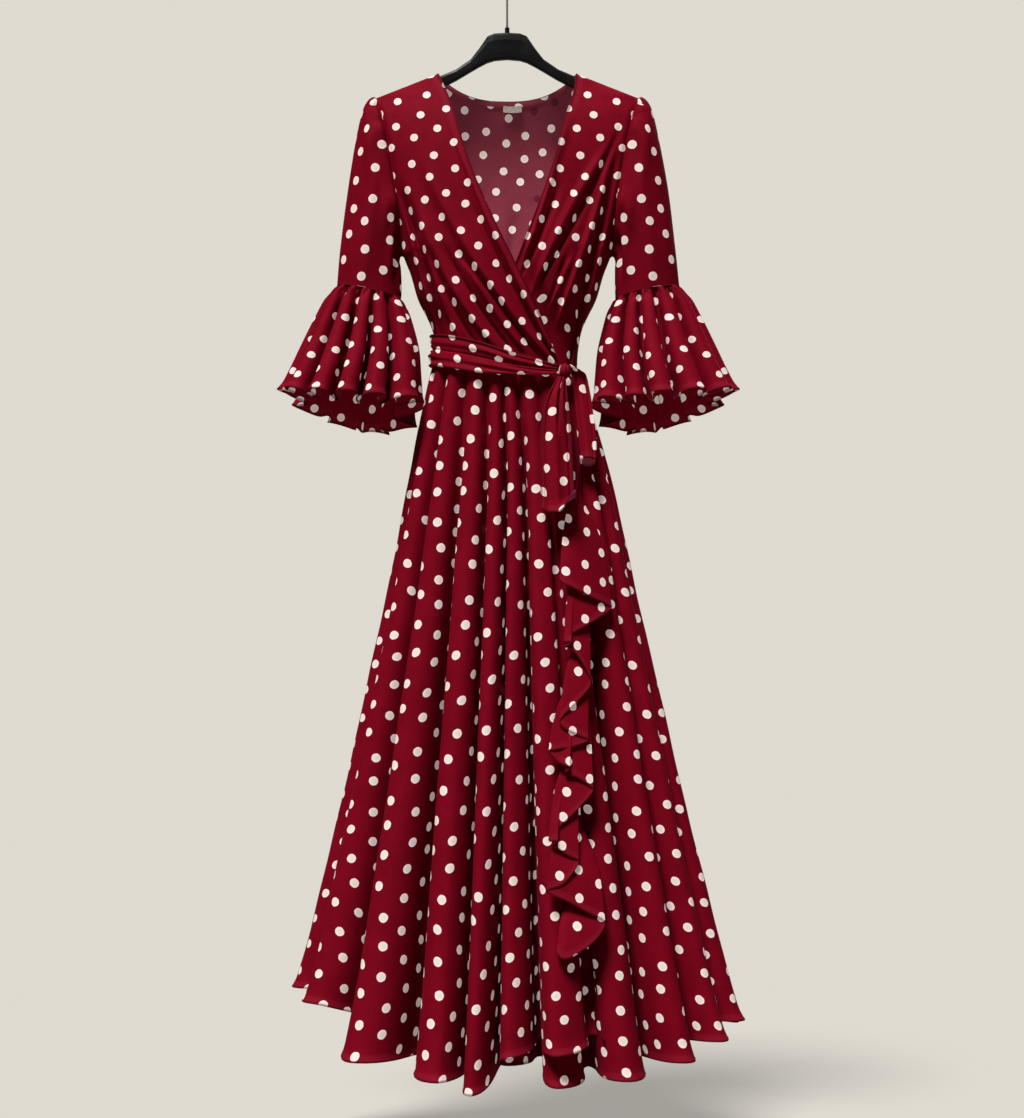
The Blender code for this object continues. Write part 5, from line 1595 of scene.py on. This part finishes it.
def tail(name, table, folds, ends, curl, rows=90, cols=56):
    """A hanging end: a strip between two edge lines, with folds down it and a lifted, rolled hem.

    ends gives the height of the hem above its lowest point across the strip.  From the share curl[0]
    down, the hem rolls forward by curl[1] at the left to curl[2] at the right, in radians, without
    changing length."""
    t = columns(table)
    share = to_hem(cols, 0.04, ends=(0, 1))[None, :]
    v = to_hem(rows, 0.19)[:, None]
    z = t["z"][0] + (t["z"][-1] - t["z"][0]) * v
    left, right = smooth(-z, -t["z"], t["left"]), smooth(-z, -t["z"], t["right"])
    off = smooth(-z, -t["z"], t["off"])
    x = left + (right - left) * share
    y = stand_off((left + right) / 2, z) - off + 0 * share
    for place, half, high, faded in folds:
        wide = half * np.where(share > place, 0.6, 1.3)
        y = y - high * np.exp(-(((share - place) / wide) ** 2)) * (1 - ease(faded - 0.4, faded, v))
    lift = np.interp(share, ends[0], ends[1])
    z = z + lift * ease(0.2, 1.0, v)
    start, least, most = curl
    beyond = np.clip((v - start) / (1 - start), 0, 1)
    long = (1 - start) * abs(t["z"][-1] - t["z"][0])
    roll = least + (most - least) * ease(0.45, 1.0, share)
    y = y - long / roll * (1 - np.cos(roll * beyond))
    z = z + long * beyond - long / roll * np.sin(roll * beyond)
    points = stack(x, y, z)
    run = np.linalg.norm(np.diff(points, axis=1), axis=-1)
    run = np.concatenate([np.zeros((len(run), 1)), np.cumsum(run, axis=1)], axis=1)
    down = run_down(points).mean(axis=1, keepdims=True)
    flat = pair(run + 0.006, -down)
    sides = np.minimum(run, run[:, -1:] - run)
    edge = pair(down + 0 * run, np.minimum(sides, down[-1:] - down))
    return cloth(name, points, flat, edge, CREPE)


tail("sash_tail_long_cloth", TAIL_LONG, TAIL_FOLDS, TAIL_ENDS, TAIL_CURL)

# %% [markdown]
# ## The loop
#
# On the other side of the knot the strip comes back as a loop, which hangs as a flattened tube with a
# few lengthwise pleats.  It could be a strip folded in two, but a tube with a wall keeps its roundness
# at the sides and its open end shows the cloth's two layers.

# %% The loop
# Middle and half width of the loop going down, its half depth, and how far it stands off the skirt.
LOOP = (
    ("z", "x", "half", "deep", "off"),
    (-0.5655, 0.0945, 0.0055, 0.0045, 0.0165),
    (-0.5690, 0.0985, 0.0092, 0.0055, 0.0160),
    (-0.5771, 0.1020, 0.0106, 0.0060, 0.0135),
    (-0.5880, 0.1038, 0.0112, 0.0060, 0.0115),
    (-0.6020, 0.1058, 0.0118, 0.0060, 0.0105),
    (-0.6300, 0.1088, 0.0126, 0.0065, 0.0100),
    (-0.6500, 0.1112, 0.0130, 0.0068, 0.0105),
    (-0.6820, 0.1135, 0.0124, 0.0070, 0.0110),
    (-0.7010, 0.1142, 0.0108, 0.0065, 0.0115),
)
# Pleats down the loop: place round it in radians, half width and height.
LOOP_PLEATS = ((0.55, 0.14, 0.0022), (0.88, 0.09, -0.0040), (1.70, 0.30, 0.0022), (2.35, 0.10, -0.0020))


def sash_loop(rows=70, cols=80):
    """The loop: a flattened tube with lengthwise pleats that fade downwards, and an open end cut
    on the slant, lower at its back."""
    t = columns(LOOP)
    v = to_hem(rows, 0.140)[:, None]
    phi = np.linspace(0, 2 * np.pi, cols, endpoint=False)[None, :]
    z = t["z"][0] + (t["z"][-1] - t["z"][0]) * v
    middle, half, deep, off = (smooth(-z, -t["z"], t[name]) for name in ("x", "half", "deep", "off"))
    pleat = sum(high * bump(at, wide, phi) for at, wide, high in LOOP_PLEATS)
    swell = pleat * (0.45 + 0.55 * (1 - ease(0.3, 0.9, v)))
    x = middle + (half + swell) * np.cos(phi)
    y = stand_off(middle, z) - off - (deep + swell) * np.sin(phi)
    z = z - 0.0055 * np.sin(phi - np.pi) * ease(0.5, 1.0, v) - 0.004 * (1 - v) ** 4 * np.cos(phi)
    points = stack(x, y, z)
    whole = round_off(points)
    run = level_run(whole)
    flat = pair(run + 0.021, whole[..., 2])
    edge = pair(run, run_down(whole)[-1:] - run_down(whole))
    return cloth("sash_tail_short_cloth", *turned(points, flat, edge, closed=True), CREPE, closed=True)


sash_loop()

# %% [markdown]
# ## The back neck: facing and label
#
# A narrow facing covers the raw edge of the back neckline on the inside, and below it sits the label.
# The facing could be a part of the back, but a sewer cuts it on its own.  It lies on the inside of the
# back, so it is made from the back's own points, moved in by the cloth's thickness.

# %% The facing
BAND_HIGH = 0.0040        # height of the facing on the inside
BAND_TURNED = 0.003       # and of the part that is turned under


def neck_band(rows=10, cols=130):
    """The facing: the top of the back between the neck points, moved in."""
    xi = np.linspace(-0.94, 0.94, cols)[None, :] * NECK_X / TIP_X
    v = np.linspace(0, BAND_HIGH / (TIP_Z - WAIST_Z), rows)[:, None]
    share = v / v[-1]
    points = back_points(v, xi) - (0.0, CLOTH, 0.0012)
    points[..., 1] -= 0.0004 * np.sin(np.pi * share)
    points[..., 2] -= 0.0030 * share
    run = level_run(points)
    CUTS["neck_band_cloth"] = (run[:, -1].mean(), run_down(points)[-1].mean() + BAND_TURNED)
    return cloth("neck_band_cloth", points, pair(run, points[..., 2]), pair(run, 0.01 + 0 * run),
                 [WRONG_SIDE, WRONG_SIDE], hems=False)


neck_band()

# %% [markdown]
# ## The woven label
#
# The label is a finely woven ribbon, sewn on at both ends.  Its threads could be modelled, at tens of
# thousands of faces.  Two crossed sines in the material, one for the ribs and one for the weft, shade a
# flat strip in the same way.

# %% The label
LABEL = {"wide": 0.0270, "high": 0.0095, "thin": 0.0006, "x": 0.0077, "z": -0.1738}
LABEL_STAND = 0.0008      # how far its free middle stands off the back
LABEL_SAG = 0.0012        # and how far it sags
RIB, WEFT = 0.0007, 0.0009            # from one thread to the next, down and across


def woven_label():
    """Bare ribbon: fine ribs crossed by the weft, and a slight sheen."""
    mat, tree, shader = new_material("label_ribbon")
    flat, u, v = uv_parts(tree, "flat")
    rib = math_node(tree, "SINE", math_node(tree, "MULTIPLY", v, 2 * math.pi / RIB))
    weft = math_node(tree, "SINE", math_node(tree, "MULTIPLY", u, 2 * math.pi / WEFT))
    threads = math_node(tree, "MULTIPLY", rib, weft)
    # Painted light and shade of the threads: where the crossed sines are high the ribbon is painted
    # lighter, where low darker, on top of the fibre's own mottling.
    light = math_node(tree, "MULTIPLY", threads, 0.25)
    fibre_and_thread_shade = math_node(tree, "MULTIPLY_ADD", noise(tree, flat, 700.0), 0.5, light)
    colour = mix_colour(tree, fibre_and_thread_shade, (0.36, 0.31, 0.28), (0.66, 0.60, 0.55))
    tree.links.new(colour, shader.inputs["Base Color"])
    set_values(shader, {"Roughness": 0.5, "Sheen Weight": 0.2})
    raised(tree, shader, threads, 0.6, 0.0002)
    return mat


def neck_label(mat, rows=14, cols=40):
    """The label: the plane just inside the CAD label's place, its free middle standing off a little."""
    low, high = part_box("neck_label")
    across = np.linspace(-1, 1, cols)[None, :]
    down = np.linspace(-1, 1, rows)[:, None]
    x = (low.x + high.x) / 2 + across * LABEL["wide"] / 2
    z = LABEL["z"] - down * LABEL["high"] / 2 - LABEL_SAG * (1 - across**2)
    y = (low.y + high.y) / 2 - LABEL_STAND * (1 - across**2) + 0 * down
    points = stack(x, y, z)
    flat = pair(x - LABEL["x"], z - LABEL["z"])
    edge = pair(x, 0.01 + 0 * z)
    return cloth("neck_label_ribbon", points, flat, edge, [mat, mat], hems=False, thin=LABEL["thin"])


neck_label(woven_label())

# %% [markdown]
# ## The hanger
#
# The hanger is a black moulding with a wire hook.  The CAD's own meshes already have the right shape,
# so they stay, with better finishes: a satin plastic with the fine orange-peel of a textured mould, and
# bright plated wire with duller patches.  Both patterns lie on object coordinates, which need no UV map
# and keep their size on every part of the moulding.

# %% Hanger finishes
def moulded_plastic():
    """Black satin plastic: orange-peel relief and slightly uneven gloss, on object coordinates."""
    mat, tree, shader = new_material("hanger_black")
    place = tree.nodes.new("ShaderNodeTexCoord").outputs["Object"]
    peel = noise(tree, place, 1400.0, 2.0)
    cloud = noise(tree, place, 30.0, 3.0)
    colour = mix_colour(tree, cloud, (0.004, 0.004, 0.0045), (0.007, 0.007, 0.0075))
    tree.links.new(colour, shader.inputs["Base Color"])
    tree.links.new(step_between(tree, cloud, 0.25, 0.75, 0.30, 0.40), shader.inputs["Roughness"])
    set_values(shader, {"Specular IOR Level": 0.22})
    raised(tree, shader, peel, 0.35, 0.0002)
    return mat


def plated_wire():
    """Plated steel: bright, with slightly darker and duller patches."""
    mat, tree, shader = new_material("hook_plated")
    place = tree.nodes.new("ShaderNodeTexCoord").outputs["Object"]
    set_values(shader, {"Metallic": 1.0})
    cloud = noise(tree, place, 220.0, 3.0)
    colour = mix_colour(tree, cloud, (0.50, 0.50, 0.51), (0.66, 0.66, 0.67))
    tree.links.new(colour, shader.inputs["Base Color"])
    tree.links.new(step_between(tree, cloud, 0.3, 0.7, 0.18, 0.34), shader.inputs["Roughness"])
    return mat


PLASTIC, WIRE = moulded_plastic(), plated_wire()
for node, mat in (("hanger_body", PLASTIC), ("hanger_collar", PLASTIC), ("hanger_hook", WIRE)):
    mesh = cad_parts[node].data
    mesh.materials.clear()
    mesh.materials.append(mat)
    print("finished", node)

# %% [markdown]
# ## What each piece stands for
#
# Each cloth piece replaces its plain CAD solid.  Its flat size is read from the pattern coordinates it
# was made with: the width and height of the flat shape and its area.

# %% Flat size of a piece
def cut_of(obj):
    """Flat width, height and area of one side of a piece, from its pattern coordinates.

    The area is half the sum over all faces of half the cross product of their diagonals, because the
    shell has two sides."""
    mesh = obj.data
    uv = np.empty(len(mesh.loops) * 2, dtype=np.float32)
    mesh.uv_layers["flat"].data.foreach_get("uv", uv)
    uv = uv.reshape(-1, 2).astype(float)
    start = np.empty(len(mesh.polygons), dtype=np.int32)
    mesh.polygons.foreach_get("loop_start", start)
    sides = np.empty(len(mesh.polygons), dtype=np.int32)
    mesh.polygons.foreach_get("loop_total", sides)
    q = start[sides == 4]
    d0, d1 = uv[q + 2] - uv[q], uv[q + 3] - uv[q + 1]
    area = np.abs(d0[:, 0] * d1[:, 1] - d0[:, 1] * d1[:, 0]).sum() / 4
    size = uv.max(axis=0) - uv.min(axis=0)
    return float(size[0]), float(size[1]), float(area)


# %% [markdown]
# ## The pieces and what holds them
#
# A garment hangs in a chain: the hanger carries the bodice, the bodice the skirt and the sash, the skirt
# the ruffle.  Each row says which CAD solid the piece replaces, how it is held and what it rests on.
# Where a piece is folded or curved across its cut, the size that was measured along its edges is used.

LEAST_FILL = 0.3          # a piece that fills less of its box is given as a straight strip instead
MOST_FILL = 0.999         # a piece fills its box by no more than this
ROLES = {
    "bodice_front_over_cloth": ("bodice_front_over", "hung", ["hanger_body"]),
    "bodice_front_under_cloth": ("bodice_front_under", "hung", ["hanger_body"]),
    "bodice_back_cloth": ("bodice_back", "hung", ["hanger_body"]),
    "sleeve_left_cloth": ("sleeve_left", "hung", ["hanger_body"]),
    "sleeve_right_cloth": ("sleeve_right", "hung", ["hanger_body"]),
    "sleeve_flounce_left_cloth": ("sleeve_flounce_left", "gathered", ["sleeve_left_cloth"]),
    "sleeve_flounce_right_cloth": ("sleeve_flounce_right", "gathered", ["sleeve_right_cloth"]),
    "skirt_front_over_cloth": ("skirt_front_over", "gathered", ["bodice_front_over_cloth"]),
    "skirt_front_under_cloth": ("skirt_front_under", "gathered", ["bodice_front_under_cloth"]),
    "skirt_back_cloth": ("skirt_back", "gathered", ["bodice_back_cloth"]),
    "wrap_ruffle_cloth": ("wrap_ruffle", "gathered", ["skirt_front_over_cloth"]),
    "sash_band_cloth": ("sash_band", "gathered", ["bodice_front_over_cloth"]),
    "sash_knot_cloth": ("sash_knot", "folded", ["sash_band_cloth"]),
    "sash_tail_long_cloth": ("sash_tail_long", "hung", ["sash_knot_cloth"]),
    "sash_tail_short_cloth": ("sash_tail_short", "hung", ["sash_knot_cloth"]),
    "neck_band_cloth": ("neck_band", "laid", ["bodice_back_cloth"]),
}
for name, (node, held, rests_on) in ROLES.items():
    obj = PIECES[name]
    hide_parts(node)
    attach(obj, "root")
    wide, high, area = cut_of(obj)
    if name in CUTS:
        wide, high = CUTS[name]
        area = sum(polygon.area for polygon in obj.data.polygons) / 2
    fill = min(area, wide * high * MOST_FILL)
    if area < LEAST_FILL * wide * high:
        wide, high, fill = area / high, high, area * MOST_FILL
    print(f"{name}: cut {wide * 100:.1f} x {high * 100:.1f} cm, {fill * 1e4:.0f} cm2")
LABEL_PIECE = PIECES["neck_label_ribbon"]
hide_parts("neck_label")
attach(LABEL_PIECE, "root")

# %% [markdown]
# ## Floor
#
# A plain pale floor lies well below the hem.  It could be a curved backdrop, but a floor that is wide
# enough runs into the surround just as softly.  For the camera it glows a little, so that the shadow of
# the dress stays light.

# %% Floor
FLOOR_Z = -1.66           # height of the floor
FLOOR_WIDE = 400          # and how wide it is


def plain(name, colour, bounce, painted_glow):
    """A plain matt finish.  For all but camera rays its colour is bounce times the colour, so that it
    throws little light back on the dress, and glow lifts the shadow on it for the camera."""
    mat, tree, shader = new_material(name)
    ray = tree.nodes.new("ShaderNodeLightPath").outputs["Is Camera Ray"]
    colour = mix_colour(tree, ray, shade(colour, bounce), colour)
    tree.links.new(colour, shader.inputs["Base Color"])
    set_values(shader, {"Roughness": 1.0, "Specular IOR Level": 0.0, "Emission Color": (*painted_glow, 1.0)})
    tree.links.new(ray, shader.inputs["Emission Strength"])
    return mat


bpy.ops.mesh.primitive_plane_add(size=FLOOR_WIDE, location=(0, 0, FLOOR_Z))
floor = bpy.context.object
floor.name = "floor"
floor.data.materials.append(plain("floor_pale", (0.234, 0.226, 0.206), 0.73, (0.316, 0.305, 0.282)))
print("floor at", FLOOR_Z)

# %% [markdown]
# ## Light
#
# One large soft light in front and to the left keeps the ridges of the folds bright and lets the
# valleys go dark.  A weak one from below stands for the light that a pale floor throws back, and one
# from behind draws the edge of the shoulders.  Area lamps would do, but a far lamp with a wide disc
# lights the long dress evenly from top to hem.

# %% Lights
SURROUND = 0.06           # how much of the pale surround lights the dress
WARM_WHITE = (1.0, 0.98, 0.96)


def wide_light(name, azimuth, elevation, strength, spread):
    """Far soft light.  Azimuth 0 shines from the front and 90 from the right, and spread is its width
    in degrees."""
    lamp = bpy.data.lights.new(name, "SUN")
    lamp.energy, lamp.angle, lamp.color = strength, math.radians(spread), WARM_WHITE
    obj = bpy.data.objects.new(name, lamp)
    bpy.context.scene.collection.objects.link(obj)
    a, e = math.radians(azimuth), math.radians(elevation)
    way = Vector((math.sin(a) * math.cos(e), -math.cos(a) * math.cos(e), math.sin(e)))
    obj.rotation_euler = way.to_track_quat("Z", "Y").to_euler()
    print(f"light {name}: strength {strength}")


wide_light("key", -26, 62, 5.7, 18)
wide_light("from_floor", 5, -25, 0.28, 60)
wide_light("back", 165, 35, 0.9, 60)
world = bpy.data.worlds.new("surround")
bpy.context.scene.world = world
world.use_nodes = True
background = world.node_tree.nodes["Background"]
background.inputs["Color"].default_value = (0.7385, 0.7055, 0.6375, 1.0)
ray = world.node_tree.nodes.new("ShaderNodeLightPath")
seen = math_node(world.node_tree, "MULTIPLY_ADD", ray.outputs["Is Camera Ray"], 1.0 - SURROUND, SURROUND)
world.node_tree.links.new(seen, background.inputs["Strength"])

# %% [markdown]
# ## Camera
#
# The camera stands three metres in front of the dress, a little below its middle, and looks slightly up.
# A longer lens from further away would flatten the folds, and a wider one would swell the hem.

# %% Camera
AIM = Vector((0.007, 0.0, -0.8337))
camera_data = bpy.data.cameras.new("camera")
camera_data.sensor_width = 36.0
camera_data.lens = 67.7
camera = bpy.data.objects.new("camera", camera_data)
bpy.context.scene.collection.objects.link(camera)
camera.location = (0.007, -3.0, -1.0207)
camera.rotation_euler = (AIM - camera.location).to_track_quat("-Z", "Y").to_euler()
bpy.context.scene.camera = camera
bpy.context.scene.view_settings.view_transform = "Standard"
print("camera at", tuple(camera.location), "with a lens of", camera_data.lens, "mm")
